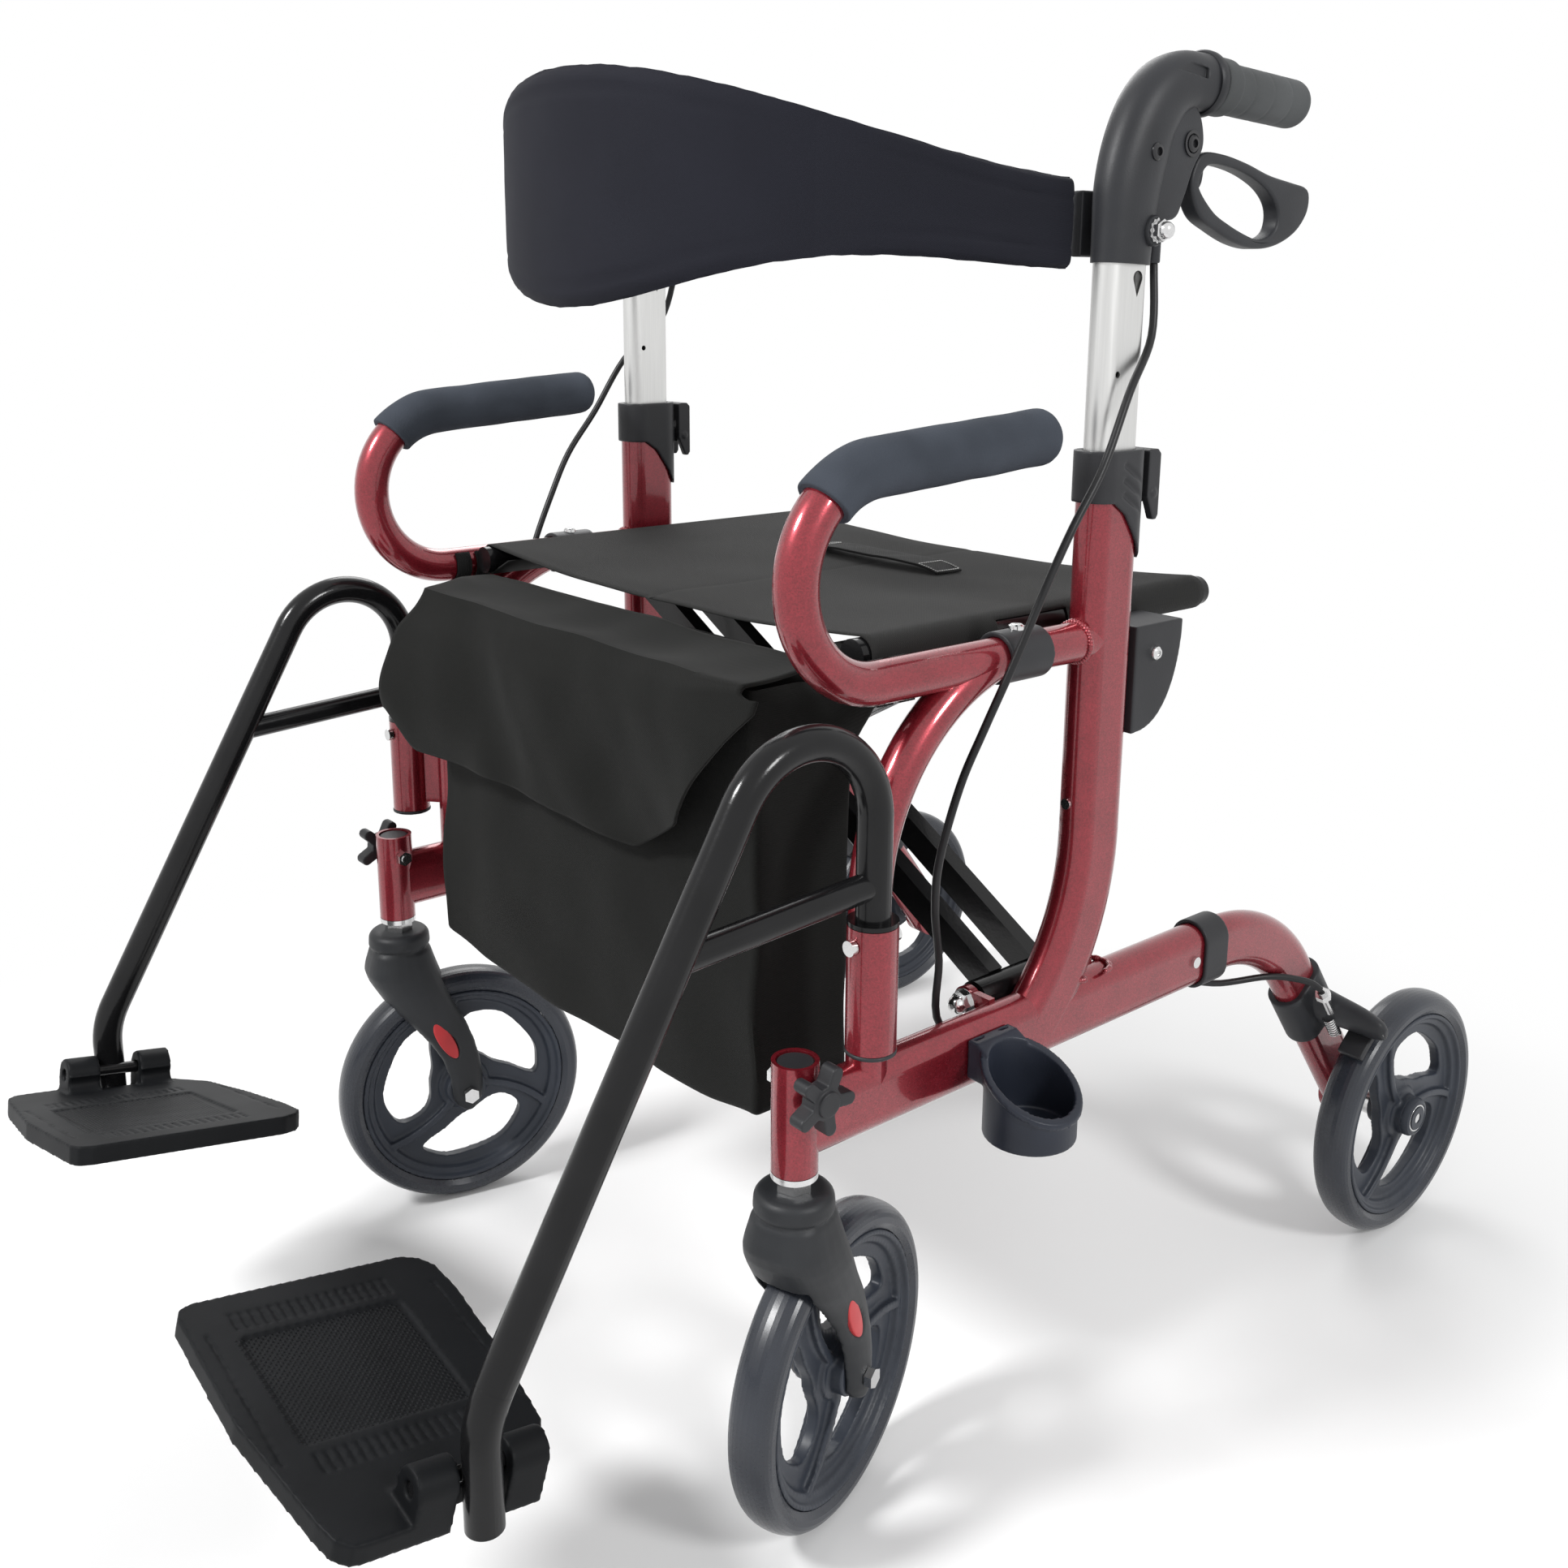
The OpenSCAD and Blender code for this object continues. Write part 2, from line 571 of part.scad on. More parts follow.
// Rubber grip with a thicker collar and shallow finger rings
module hand_grip() {
    len = grip_y1 - grip_y0;
    body = 30;
    translate([xf, grip_y0 + 1, grip_z]) rotate([-90 - grip_slope, 0, 0]) rotate_extrude() difference() {
        union() {
            square([17, 15]);
            square([body / 2, len - 6]);
            square([body / 2 - 6, len]);
            translate([body / 2 - 6, len - 6]) circle(6);
        }
        square([spigot_d / 2 + fit, 89]);
        for (i = [0 : 3]) translate([body / 2, 30 + 20 * i]) circle(d = 1.6);
    }
}
module hand_grip_left() color(rubber) left() hand_grip();
module hand_grip_right() color(rubber) right() hand_grip();

// Closed loop brake lever under the grip
lever_out = [[310, -41], [318, -38.5], [336, -39.5], [362, -44], [387, -50], [415, -52.5], [430, -55.5],
    [434, -61],
    [434, -70], [426, -80.5], [414, -87.5], [396, -93], [378, -95], [360, -93], [342, -88.5],
        [324, -82], [312, -75],
    [306, -66], [304, -57], [305, -48]];
lever_in = [[315, -51], [325, -48.5], [348, -50], [368, -54], [384, -60], [393, -67.5], [394, -77.5],
    [388, -85],
    [379, -87.5], [366, -84.5], [345, -77.5], [327, -70], [318, -61]];
module brake_lever() {
    tang = 7;
    slab(xf - 8, xf + 8) difference() {
        polygon([for (p = lever_out) [p[0], grip_z + p[1]]]);
        polygon([for (p = lever_in) [p[0], grip_z + p[1]]]);
    }
    slab(xf - tang / 2, xf + tang / 2) {
        translate(brake_pin) circle(r = 8);
        polygon([[brake_pin[0] - 5, brake_pin[1] - 6], [306, grip_z - 58], [318, grip_z - 38.5],
            [brake_pin[0] + 5, brake_pin[1] + 6]]);
    }
    rod_x(6, xf - 9.5, xf + 9.5, brake_pin[0], brake_pin[1]);
}
module brake_lever_left() color(black) left() brake_lever();
module brake_lever_right() color(black) right() brake_lever();

// Brake cable swept along its route
module brake_cable() cord(smooth(cable_pts, cable_steps), cable_d, cable_sides);
module brake_cable_left() color(gloss_black) left() brake_cable();
module brake_cable_right() color(gloss_black) right() brake_cable();

// Brake clamp on the rear leg, with an arm over the tyre
brake_t = 128;
module along_leg(t) translate([0, wheelbase - t * cos(leg_a), wheel_r + t * sin(leg_a)])
    rotate([-leg_a, 0, 0]) children();
module brake_housing() {
    clamp = 50;
    over_l = 30;
    arm_x1 = rear_x + 12;
    difference() {
        along_leg(brake_t) union() {
            translate([xf, -clamp / 2, 0]) rotate([-90, 0, 0]) linear_extrude(clamp) rotate(90)
                flat_oval(tele_h + 9, tele_w + 9);
            translate([xf, -6, -12]) cube([arm_x1 - xf, over_l, 25]);
            translate([arm_x1, -6, 0.5]) rotate([-90, 0, 0]) cylinder(d = 25, h = over_l);
        }
        along_leg(brake_t) translate([xf, -clamp, 0]) rotate([-90, 0, 0]) linear_extrude(2 * clamp)
            rotate(90)
            flat_oval(tele_h + 2 * fit, tele_w + 2 * fit);
        along_leg(brake_t) translate([rear_x - 16, 1.5, -16]) cube([32, over_l, 26]);
        rod_x(wheel_d + 26, rear_x - tyre_w / 2 - 4, rear_x + 40, wheelbase, wheel_r);
        rod_x(6 + fit, rear_x - 24, rear_x + 40, shoe_pin[0], shoe_pin[1]);
    }
}
shoe_pin = [wheelbase - 119 * cos(leg_a) + 2, wheel_r + 119 * sin(leg_a) + 1.5];
module brake_housing_left() color(black) left() brake_housing();
module brake_housing_right() color(black) right() brake_housing();

// Brake shoe on its pin, standing just off the tyre
module brake_shoe() {
    clear = 2.6;
    difference() {
        union() {
            slab(rear_x - 13, rear_x + 13) difference() {
                intersection() {
                    translate([wheelbase, wheel_r]) circle(r = wheel_r + clear + 7);
                    polygon([[wheelbase - 40, wheel_r + 60], [wheelbase - 40, wheel_r + 130],
                        [wheelbase - 78, wheel_r + 130],
                        [wheelbase - 100, wheel_r + 84], [wheelbase - 70, wheel_r + 60]]);
                }
                translate([wheelbase, wheel_r]) circle(r = wheel_r + clear);
            }
            rod_x(11, rear_x - 13, rear_x + 13, shoe_pin[0], shoe_pin[1]);
            slab(rear_x - 13, rear_x + 13) polygon([[shoe_pin[0] - 5, shoe_pin[1]],
                [shoe_pin[0] + 5, shoe_pin[1]],
                [shoe_pin[0] + 16, shoe_pin[1] - 12], [shoe_pin[0] + 6, shoe_pin[1] - 20]]);
        }
        rod_x(6 + 2 * run, rear_x - 30, rear_x + 30, shoe_pin[0], shoe_pin[1]);
        rod_x(wheel_d + 2 * clear, rear_x - 30, rear_x + 30, wheelbase, wheel_r);
    }
}
module brake_shoe_left() color(black) left() brake_shoe();
module brake_shoe_right() color(black) right() brake_shoe();

// Fasteners that stay with a side frame
module dome_y(x, y, z, s) translate([x, y, z]) rotate([-90 * s, 0, 0]) {
    cylinder(d = 18, h = 1.6);
    translate([0, 0, 1.6]) cylinder(d = 15, h = 6, $fn = 6);
    translate([0, 0, 7.6]) rounded_rod(12.4, 5.4, 4.6);
}
module frame_bolts() {
    leg_in = xf - tele_w / 2;
    rod_x(axle_d, leg_in - fit, rear_x + 18, wheelbase, wheel_r);
    hex_x(19, rear_x + 15.3, rear_x + 20.5, wheelbase, wheel_r);
    rod_x(20, leg_in - 4, leg_in - fit, wheelbase, wheel_r);
    rod_x(24, xf + tele_w / 2 + fit, rear_x - 15.3, wheelbase, wheel_r);
    rod_x(6, rear_x - 23.5, rear_x + 22, shoe_pin[0], shoe_pin[1]);
    rod_x(14, leg_in - 3, leg_in - fit, wheelbase - 50 * cos(leg_a), wheel_r + 50 * sin(leg_a));
    rod_x(6, xf - stem_d / 2 - 6, xf + stem_d / 2 + 8, 0, knob_z);
    hex_x(11.5, xf - stem_d / 2 - 5, xf - stem_d / 2, 0, knob_z);
    for (s = [-1, 1]) translate([recv[0], recv[1] + s * (recv_d / 2 + fit), recv_z1 - 10])
        rotate([-90 * s, 0, 0]) cylinder(d = 9, h = 3.6);
    rod_x(8, xf + oval_w / 2 + fit, xf + oval_w / 2 + 2.2, lower_end - 26, lower_z + 1);
    rod_y(7, post_y - oval_h / 2 - 2.2, post_y - oval_h / 2 - fit, xf, lower_z + 142);
    rod_y(10, pivot_y0 - 8, pivot_y1 + 8, pivot_x, pivot_z);
    dome_y(pivot_x, pivot_y0 - 8, pivot_z, -1);
    dome_y(pivot_x, pivot_y1 + 8, pivot_z, 1);
    // barrel adjuster where the cable meets the brake
    along_leg(brake_t + 21) translate([xf + 29, 0, -4]) rotate([90, 0, 0]) {
        translate([0, 0, -14.9]) cylinder(d = 7, h = 27);
        translate([0, 0, 4]) cylinder(d = 12, h = 5, $fn = 6);
    }
}
module frame_bolts_left() color(steel) left() frame_bolts();
module frame_bolts_right() color(steel) right() frame_bolts();

// Five-arm knob on the outer side of the stem tube
module star_knob() {
    arm_r = 17;
    x0 = xf + stem_d / 2 + 3;
    translate([x0, 0, knob_z]) rotate([0, 90, 0]) difference() {
        union() {
            linear_extrude(11) {
                circle(r = 10);
                for (i = [0 : 4]) rotate(72 * i + 10) {
                    translate([0, -4]) square([arm_r, 8]);
                    translate([arm_r, 0]) circle(r = 4);
                }
            }
            cylinder(r = 7.5, h = 13.5);
        }
        translate([0, 0, -1]) cylinder(d = 6 + 2 * run, h = 7);
    }
}
module star_knob_left() color(black) left() star_knob();
module star_knob_right() color(black) right() star_knob();

// Front casters: everything is drawn trailing along +Y, then swivelled
module swivel(yaw) translate([xf, 0, 0]) rotate([0, 0, yaw]) children();
fork_in = tyre_w / 2 + 3;
fork_t = 9;
fork_n = 32;
oval = [6.2, 14.5];
module oval_hole() polygon([for (a = [0 : 15 : 345]) [oval[0] * cos(a), oval[1] * sin(a)]]);
module fork_hood(top) {
    half = fork_in + fork_t;
    // height, front edge, rear edge and half width, from the foot of the legs to the collar
    stations = [[wheel_r - 16, trail - 5, trail + 5, half - 2.6],
        [wheel_r - 13, trail - 10, trail + 10, half - 0.8],
        [wheel_r - 7, trail - 14, trail + 14, half], [wheel_r, trail - 15, trail + 15, half],
        [wheel_r + 14, trail - 17, trail + 15.5, half],
        [wheel_r + 30, trail - 22, trail + 13.5, half + 0.3],
        [wheel_r + 46, trail - 31, trail + 9.5, half + 0.8],
        [wheel_r + 62, trail - 43, trail + 4, half + 1.5],
        [wheel_r + 78, trail - 56, trail - 4, half + 2.2], [top - 48, -21, 34, half + 2.4],
        [top - 40, -25.5, 31, half + 1.6], [top - 33, -27.5, 28.6, half + 0.4],
        [top - 27, -26.5, 26.6, 25.8], [top - 21, -24.6, 24.8, 24.2], [top - 16, -23.2, 23.4, 23],
        [top - 14, -21.5, 21.5, 21.5]];
    loft([for (p = stations) let (mid = (p[1] + p[2]) / 2)
        oval_ring([0, mid, p[0]], [1, 0, 0], [0, 1, 0], p[3], p[2] - mid, fork_n, 0.72)]);
}
module caster_fork() {
    top = stem_z0 - 12;
    inlay = [trail - 16, wheel_r + 47];
    tilt = 27;
    deep = 2.4;
    difference() {
        union() {
            rotate_extrude() polygon([[0, top], [18.5, top], [21.2, top - 0.8], [23.4, top - 3.5],
                [24, top - 11.5], [22, top - 13], [21.4, top - 14], [21.4, top - 18], [0, top - 18]]);
            fork_hood(top);
        }
        rod_x(wheel_d + 9, -fork_in, fork_in, trail, wheel_r);
        rod_z(stem_bore + fit, top - 56, top + 1, 0, 0);
        rod_x(8 + fit, -60, 60, trail, wheel_r);
        for (s = [-1, 1]) slab(s > 0 ? fork_in + fork_t - deep : -fork_in - fork_t - 6,
            s > 0 ? fork_in + fork_t + 6 : -fork_in - fork_t + deep)
            translate(inlay) rotate(tilt) oval_hole();
    }
}
module caster_fork_left() color(black) left() swivel(caster_yaw_left) caster_fork();
module caster_fork_right() color(black) right() swivel(-caster_yaw_right) caster_fork();

// Stem bolt with nut and washer, and the front axle bolt
module caster_bolts() {
    top = stem_z0 - 12;
    rod_z(stem_bore, top - 34, stem_z0 + 44, 0, 0);
    rod_z(22, top + fit, top + 7, 0, 0, $fn = 6);
    rod_z(stem_d, top + 8, stem_z0 - gap, 0, 0);
    rod_x(8, -fork_in - fork_t - 1, fork_in + fork_t + 1, trail, wheel_r);
    for (s = [-1, 1]) hex_x(13, s > 0 ? fork_in + fork_t + fit : -fork_in - fork_t - 5,
        s > 0 ? fork_in + fork_t + 5 : -fork_in - fork_t - fit, trail, wheel_r);
}
module caster_bolts_left() color(steel) left() swivel(caster_yaw_left) caster_bolts();
module caster_bolts_right() color(steel) right() swivel(-caster_yaw_right) caster_bolts();

// Wheel: moulded rim with curved spokes and a tyre
rim_r = wheel_r - 16.5;
spoke_r = 95;
rim_web = 9;
rib_h = 19;
// Opening between two spokes as radius and angle, from its tip round the rim and back along the hub
opening_rim = [[62, 1], [64.6, 8], [65.6, 27], [65.6, 62], [61, 86], [52.5, 95], [38, 97], [28.5, 84],
    [27, 55], [30, 30], [42, 13], [54, 3]];
module spoke_rib(w) intersection() {
    translate([0, -spoke_r]) difference() {
        circle(r = spoke_r + w / 2);
        circle(r = spoke_r - w / 2);
    }
    difference() {
        circle(r = rim_r - 8);
        translate([-2 * rim_r, -rim_r]) square([2 * rim_r, 2 * rim_r]);
    }
}
module spoke_opening() {
    pts = [for (p = opening_rim) p[0] * rim_r / 83.5 * [cos(p[1]), sin(p[1])]];
    n = len(pts);
    ring = [for (i = [-1 : n + 1]) pts[(i + n) % n]];
    polygon([for (i = [1 : n], j = [0 : 3]) spline(ring, i, j / 4)]);
}
module rim(bore, hub_w) difference() {
    union() {
        rotate_extrude() polygon([[rim_r, -13], [rim_r, 13], [rim_r - 3, 13], [rim_r - 5, 9],
            [rim_r - 8.5, 9], [rim_r - 10.5, rim_web / 2], [rim_r - 10.5, -rim_web / 2],
            [rim_r - 8.5, -9], [rim_r - 5, -9], [rim_r - 3, -13]]);
        linear_extrude(rim_web, center = true) difference() {
            circle(r = rim_r - 9);
            for (i = [0 : spokes - 1]) rotate(360 * i / spokes - 4) spoke_opening();
        }
        for (i = [0 : spokes - 1]) rotate(360 * i / spokes) linear_extrude(rib_h, center = true)
            spoke_rib(6);
        cylinder(r = 16, h = hub_w, center = true);
        cylinder(r = 21, h = 15, center = true);
    }
    cylinder(d = bore + 2 * run, h = hub_w + 10, center = true);
}
module tyre() {
    shoulder = tyre_w / 2;
    in_r = rim_r + gap;
    rotate_extrude() polygon(concat(
        [for (a = [-90 : 12 : 90]) [in_r + 4 + (wheel_r - in_r - 4)
            * pow(cos(a), 0.75), shoulder * super(sin(a), 0.9)]],
        [[in_r, 12], [in_r, -12]]));
}
module on_front(yaw) swivel(yaw) translate([0, trail, wheel_r]) rotate([0, 90, 0]) children();
module on_rear() translate([rear_x, wheelbase, wheel_r]) rotate([0, 90, 0]) children();
module front_rim_left() color(black) left() on_front(caster_yaw_left) rotate(112) rim(8, 2 * fork_in - 1);
module front_rim_right() color(black) right() on_front(-caster_yaw_right) rotate(88)
    rim(8, 2 * fork_in - 1);
module front_tyre_left() color(rubber) left() on_front(caster_yaw_left) tyre();
module front_tyre_right() color(rubber) right() on_front(-caster_yaw_right) tyre();
module rear_rim_left() color(black) left() on_rear() rotate(106) rim(axle_d, 30);
module rear_rim_right() color(black) right() on_rear() rotate(84) rim(axle_d, 30);
module rear_tyre_left() color(rubber) left() on_rear() tyre();
module rear_tyre_right() color(rubber) right() on_rear() tyre();

// Footrest hanger: leg in the receiver, loop, long diagonal, foot with the plate pin
module footrest() {
    x = recv[0];
    diag = norm([hang_t[0] - hang_y, hang_t[1] - knee_z]) - knee_l;
    brace_z = recv_z1 + 23;
    brace_y = hang_t[0] - (hang_t[1] - brace_z + 6) / tan(hang_slope);
    brace_v = [brace_y - recv[1], -8];
    rod_z(hanger_d, recv_z0 + 8, hang_c[1] + lap, x, recv[1]);
    bend(x, hang_c[0], hang_c[1], hang_r, 0, 90 + hang_slope) circle(d = hanger_d + grow);
    ray(x, hang_t[0] + lap * cos(hang_slope), hang_t[1] + lap * sin(hang_slope), 180 + hang_slope,
        diag + 2 * lap)
        circle(d = hanger_d);
    bend(x, hang_y + knee_r, knee_z - knee_l, knee_r, 90 + hang_slope, 180) circle(d = hanger_d + grow);
    rod_z(hanger_d, hang_z0, knee_z - knee_l + lap, x, hang_y);
    ray(x, recv[1], brace_z, atan2(brace_v[1], brace_v[0]), norm(brace_v)) circle(d = hanger_d - 4);
    rod_z(recv_d, recv_z1 + gap, recv_z1 + 3, x, recv[1]);
    on_pin(0) rotate([-90, 0, 0]) translate([0, 0, -33]) cylinder(d = pin_d, h = 66);
}
module on_pin(lean) translate([recv[0] - pin_in, hang_y, pin_z]) rotate([-plate_pitch, 0, 0])
    rotate([0, lean, 0]) children();
module footrest_left() color(gloss_black) left() footrest();
module footrest_right() color(gloss_black) right() footrest();

// Footplate: tread with ribs and a recessed panel, two knuckles on the pin, a notch for the tube
module plate_outline() {
    x0 = -plate_w;
    y0 = plate_y - plate_l / 2;
    y1 = plate_y + plate_l / 2;
    polygon([[x0, y0 + 10], [x0 + 3, y0 + 3], [x0 + 10, y0], [-plate_w * 0.5, y0 - 1],
        [-plate_w * 0.1, y0 + 9], [-6, y0 + 12],
        [1, y0 + 18], [2, y0 + 26], [2, -notch], [-notch, -notch], [-notch, k_rear], [2, k_rear],
            [2, y1 - 33], [-10, y1 - 25],
        [-plate_w * 0.2, y1 - 8], [-plate_w * 0.5, y1 - 1], [-plate_w * 0.8, y1 + 2], [x0 + 14, y1],
            [x0 + 5, y1 - 6], [x0, y1 - 16]]);
}
module footplate() {
    top = -plate_drop;
    ribs = 17;
    panel_w = 86;
    panel_l = 94;
    mid = pin_in - plate_w * 0.58;
    mid_y = plate_y - 5;
    difference() {
        union() {
            translate([pin_in, 0, top - plate_t]) linear_extrude(plate_t) plate_outline();
            for (y = [-k_front - knuckle_l, k_rear]) translate([0, y, 0]) rotate([-90, 0, 0])
                linear_extrude(knuckle_l) {
                circle(r = knuckle_w);
                translate([-knuckle_w - 7, 0]) square([2 * knuckle_w + 7, -top + plate_t]);
            }
        }
        translate([mid, mid_y, top - 1.4]) linear_extrude(3) rounded_plate(panel_w, panel_l, 4);
        for (s = [-1, 1], i = [0 : ribs - 1])
            translate([mid + s * (panel_w / 2 + 13), mid_y + (i - (ribs - 1) / 2) * panel_l / ribs, top])
                cube([15, 2.6, 2], center = true);
        for (s = [-1, 1]) translate([mid, plate_y + s * (plate_l / 2 - 9), top])
            cube([plate_w * 0.55, 2.2, 2], center = true);
        rotate([-90, 0, 0]) translate([0, 0, -60]) cylinder(d = pin_d + 2 * run, h = 120);
        translate([-knuckle_w - 7, -k_front - 30, top + 7]) rotate([-90, 0, 0]) cylinder(r = 7, h = 90);
    }
}
module footplate_left() color(black) left() on_pin(plate_lean_left) footplate();
module footplate_right() color(black) right() on_pin(plate_lean_right) footplate();

// Cane cup with a slanted lip, on a slotted bracket at the left lower tube
module cup() {
    cup_wall = 2.6;
    lip_h = 4;
    slope = 27;
    clip_x = xf + oval_w / 2 + fit;
    clip_w = 36;
    clip_z = lower_z - 10;
    module mouth(lift) translate([cup_x - cup_d / 2, cup_y, cup_z + cup_h + lift]) rotate([0, slope, 0])
        translate([-cup_d, -cup_d, 0]) cube([3 * cup_d, 2 * cup_d, cup_h]);
    difference() {
        union() {
            difference() {
                rod_z(cup_d, cup_z, cup_z + cup_h + 4, cup_x, cup_y);
                mouth(0);
            }
            intersection() {
                difference() {
                    rod_z(cup_d + 2 * cup_lip, cup_z + 4, cup_z + cup_h + 4, cup_x, cup_y);
                    mouth(0);
                }
                mouth(-lip_h);
            }
            difference() {
                translate([clip_x, cup_y - clip_w / 2, clip_z])
                    cube([cup_d / 3, clip_w, cup_z + cup_h + 2 - clip_z]);
                mouth(2);
            }
        }
        rod_z(cup_d - 2 * cup_wall, cup_z + 3, cup_z + cup_h + 20, cup_x, cup_y);
        for (s = [-1, 1]) translate([clip_x + 1.6, cup_y + s * 11 - 4, cup_z + cup_h - 8]) cube([2, 8, 20]);
    }
}
module cane_cup() color(black) left() cup();

// Cross brace arm: lower pivot tube, two box bars and the opposite seat tube
module brace_bar(y, len) translate([pivot_x, y, pivot_z]) rotate([0, 180 + brace_a, 0])
    translate([8, -bar_t / 2, -bar_h / 2])
    difference() {
        cube([len - 16, bar_t, bar_h]);
        translate([(pivot_x / cos(brace_a)) - 8, -1, bar_h / 2]) rotate([-90, 0, 0])
            cylinder(d = 10 + 2 * run, h = bar_t + 2);
    }
module cross_arm(bars) {
    len = (pivot_x + seat_x) / cos(brace_a);
    difference() {
        rod_y(pivot_d, pivot_y0, pivot_y1, pivot_x, pivot_z);
        rod_y(10 + 2 * run, pivot_y0 - 1, pivot_y1 + 1, pivot_x, pivot_z);
    }
    for (y = bars) brace_bar(y, len);
    rod_y(seat_tube_d, seat_y0, seat_y1, -seat_x, seat_z);
}
module cross_arm_a() color(gloss_black) left() cross_arm(bars_a);
module cross_arm_b() color(gloss_black) right() cross_arm(bars_b);

// Bolt through the middle of the cross brace
module cross_bolt() color(steel) left() {
    y0 = bars_a[0] - bar_t / 2;
    y1 = bars_a[1] + bar_t / 2;
    rod_y(10, y0 - 1, y1 + 1, 0, cross_z);
    dome_y(0, y0 - fit, cross_z, -1);
    dome_y(0, y1 + fit, cross_z, 1);
}

// Seat sling: fabric between sleeves on the two seat tubes
seat_t = 3;
function seat_top(x) = seat_z + sleeve_r - seat_sag * (1 - pow(x / seat_x, 2));
module sling() {
    y0 = seat_y0 + 6;
    y1 = seat_y1 - 8;
    xs = [for (i = [-16 : 16]) seat_x * i / 16];
    difference() {
        translate([0, y1, 0]) rotate([90, 0, 0]) linear_extrude(y1 - y0) difference() {
            union() {
                polygon(concat([for (x = xs) [x, seat_top(x)]], [for (i = [len(xs) - 1 : -1 : 0])
                    [xs[i], seat_top(xs[i]) - seat_t]]));
                for (s = [-1, 1]) translate([s * seat_x, seat_z]) circle(r = sleeve_r);
            }
            for (s = [-1, 1]) translate([s * seat_x, seat_z]) circle(r = seat_tube_d / 2 + 0.3);
        }
        for (s = [-1, 1]) translate([s * (seat_x - 6), (bars_a[0] + bars_a[1]) / 2, seat_z - 10])
            cube([40, 62, 33], center = true);
    }
}

// Webbing strap sewn to the sling, pulled to fold the frame
module pull_strap() {
    half = 74;
    y = 288;
    w = 26;
    xs = [for (i = [-8 : 8]) half * i / 8];
    lift = 5;
    translate([0, y + w / 2, 0]) rotate([90, 0, 0]) linear_extrude(w)
        polygon(concat([for (x = xs) [x, seat_top(x) + 2 + lift * (1 - pow(x / half, 4))]],
            [for (i = [len(xs) - 1 : -1 : 0]) [xs[i], seat_top(xs[i]) + 0.05 + (lift - 0.2)
                * (1 - pow(xs[i] / half, 4))]]));
}

module seat() color(cloth) left() {
    sling();
    pull_strap();
}

// Bag under the seat front, hung on the rails by four loops
bag_t = 2;
module bag() color(cloth) left() {
    half = bag_w / 2;
    loops = [arm_y + 2, arm_y + 19];
    loop_w = 12;
    tab_h = 16;
    tab_x = xf - tube_d / 3;
    difference() {
        slab(-half, half) polygon([[bag_y0, bag_top], [bag_y0 - 4, bag_top - bag_h * 0.5],
            [bag_y0, bag_top - bag_h + 14], [bag_y0 + 12, bag_top - bag_h],
            [bag_y0 + bag_depth - 8, bag_top - bag_h + 6], [bag_y0 + bag_depth, bag_top - bag_h + 24],
                [bag_y0 + bag_depth, bag_top]]);
        slab(-half + bag_t, half - bag_t) polygon([[bag_y0 + bag_t, bag_top + 1],
            [bag_y0 - 4 + bag_t, bag_top - bag_h * 0.5],
            [bag_y0 + bag_t, bag_top - bag_h + 14 + bag_t], [bag_y0 + 12 + bag_t, bag_top - bag_h + bag_t],
            [bag_y0 + bag_depth - 8 - bag_t, bag_top - bag_h + 6 + bag_t],
                [bag_y0 + bag_depth - bag_t, bag_top - bag_h + 24],
            [bag_y0 + bag_depth - bag_t, bag_top + 1]]);
    }
    for (s = [-1, 1], y = loops) difference() {
        union() {
            rod_y(tube_d + 5, y, y + loop_w, s * xf, rail_z);
            translate([s > 0 ? half - bag_t : -tab_x, y, bag_top - tab_h])
                cube([tab_x - half + bag_t, loop_w, tab_h]);
        }
        rod_y(tube_d + 2 * fit, y - 1, y + loop_w + 1, s * xf, rail_z);
    }
}

// Flap over the bag's mouth and front
module bag_flap() color(cloth) left() {
    half = bag_w / 2 + 14;
    drop = 118;
    back = seat_y0 - 2;
    intersection() {
        slab(-half, half) polygon([[back, bag_top + 0.6], [back, bag_top + 3.4],
            [bag_y0 - 4, bag_top + 3.4], [bag_y0 - 10, bag_top - 6],
            [bag_y0 - 15, bag_top - 60], [bag_y0 - 17, bag_top - drop], [bag_y0 - 14, bag_top - drop],
            [bag_y0 - 12, bag_top - 60], [bag_y0 - 6.6, bag_top - 6], [bag_y0 - 2, bag_top + 0.6]]);
        translate([0, 100, 0]) rotate([90, 0, 0]) linear_extrude(200) polygon([[-half, bag_top + 10],
            [half, bag_top + 10], [half, bag_top - 14], [half - 106, bag_top - drop],
            [-half + 22, bag_top - drop], [-half, bag_top - drop + 32]]);
    }
}

// Backrest band: padded, tall in the middle, bulging forward
function back_up(a) = back_zend + back_end / 2 + (back_h - back_end) * 0.72 * pow(cos(a), 1.9);
function back_low(a) = back_zend - back_end / 2 + 9 * pow(sin(2 * a), 2) - (back_h - back_end)
    * 0.28 * pow(cos(a), 5);
module backrest() color(band) left() {
    rings = [for (i = [-back_k : back_k])
        let (a = min(89.9, max(-89.9, 90 * i / back_k)), u = back_up(a), l = back_low(a))
        oval_ring([back_x * sin(a), back_y - back_depth * cos(a), (u + l) / 2],
            [0, 0, 1], unit([back_depth * sin(a), -back_x * cos(a), 0]),
            (u - l) / 2, back_t / 2, 20, 0.5)];
    loft(rings);
}

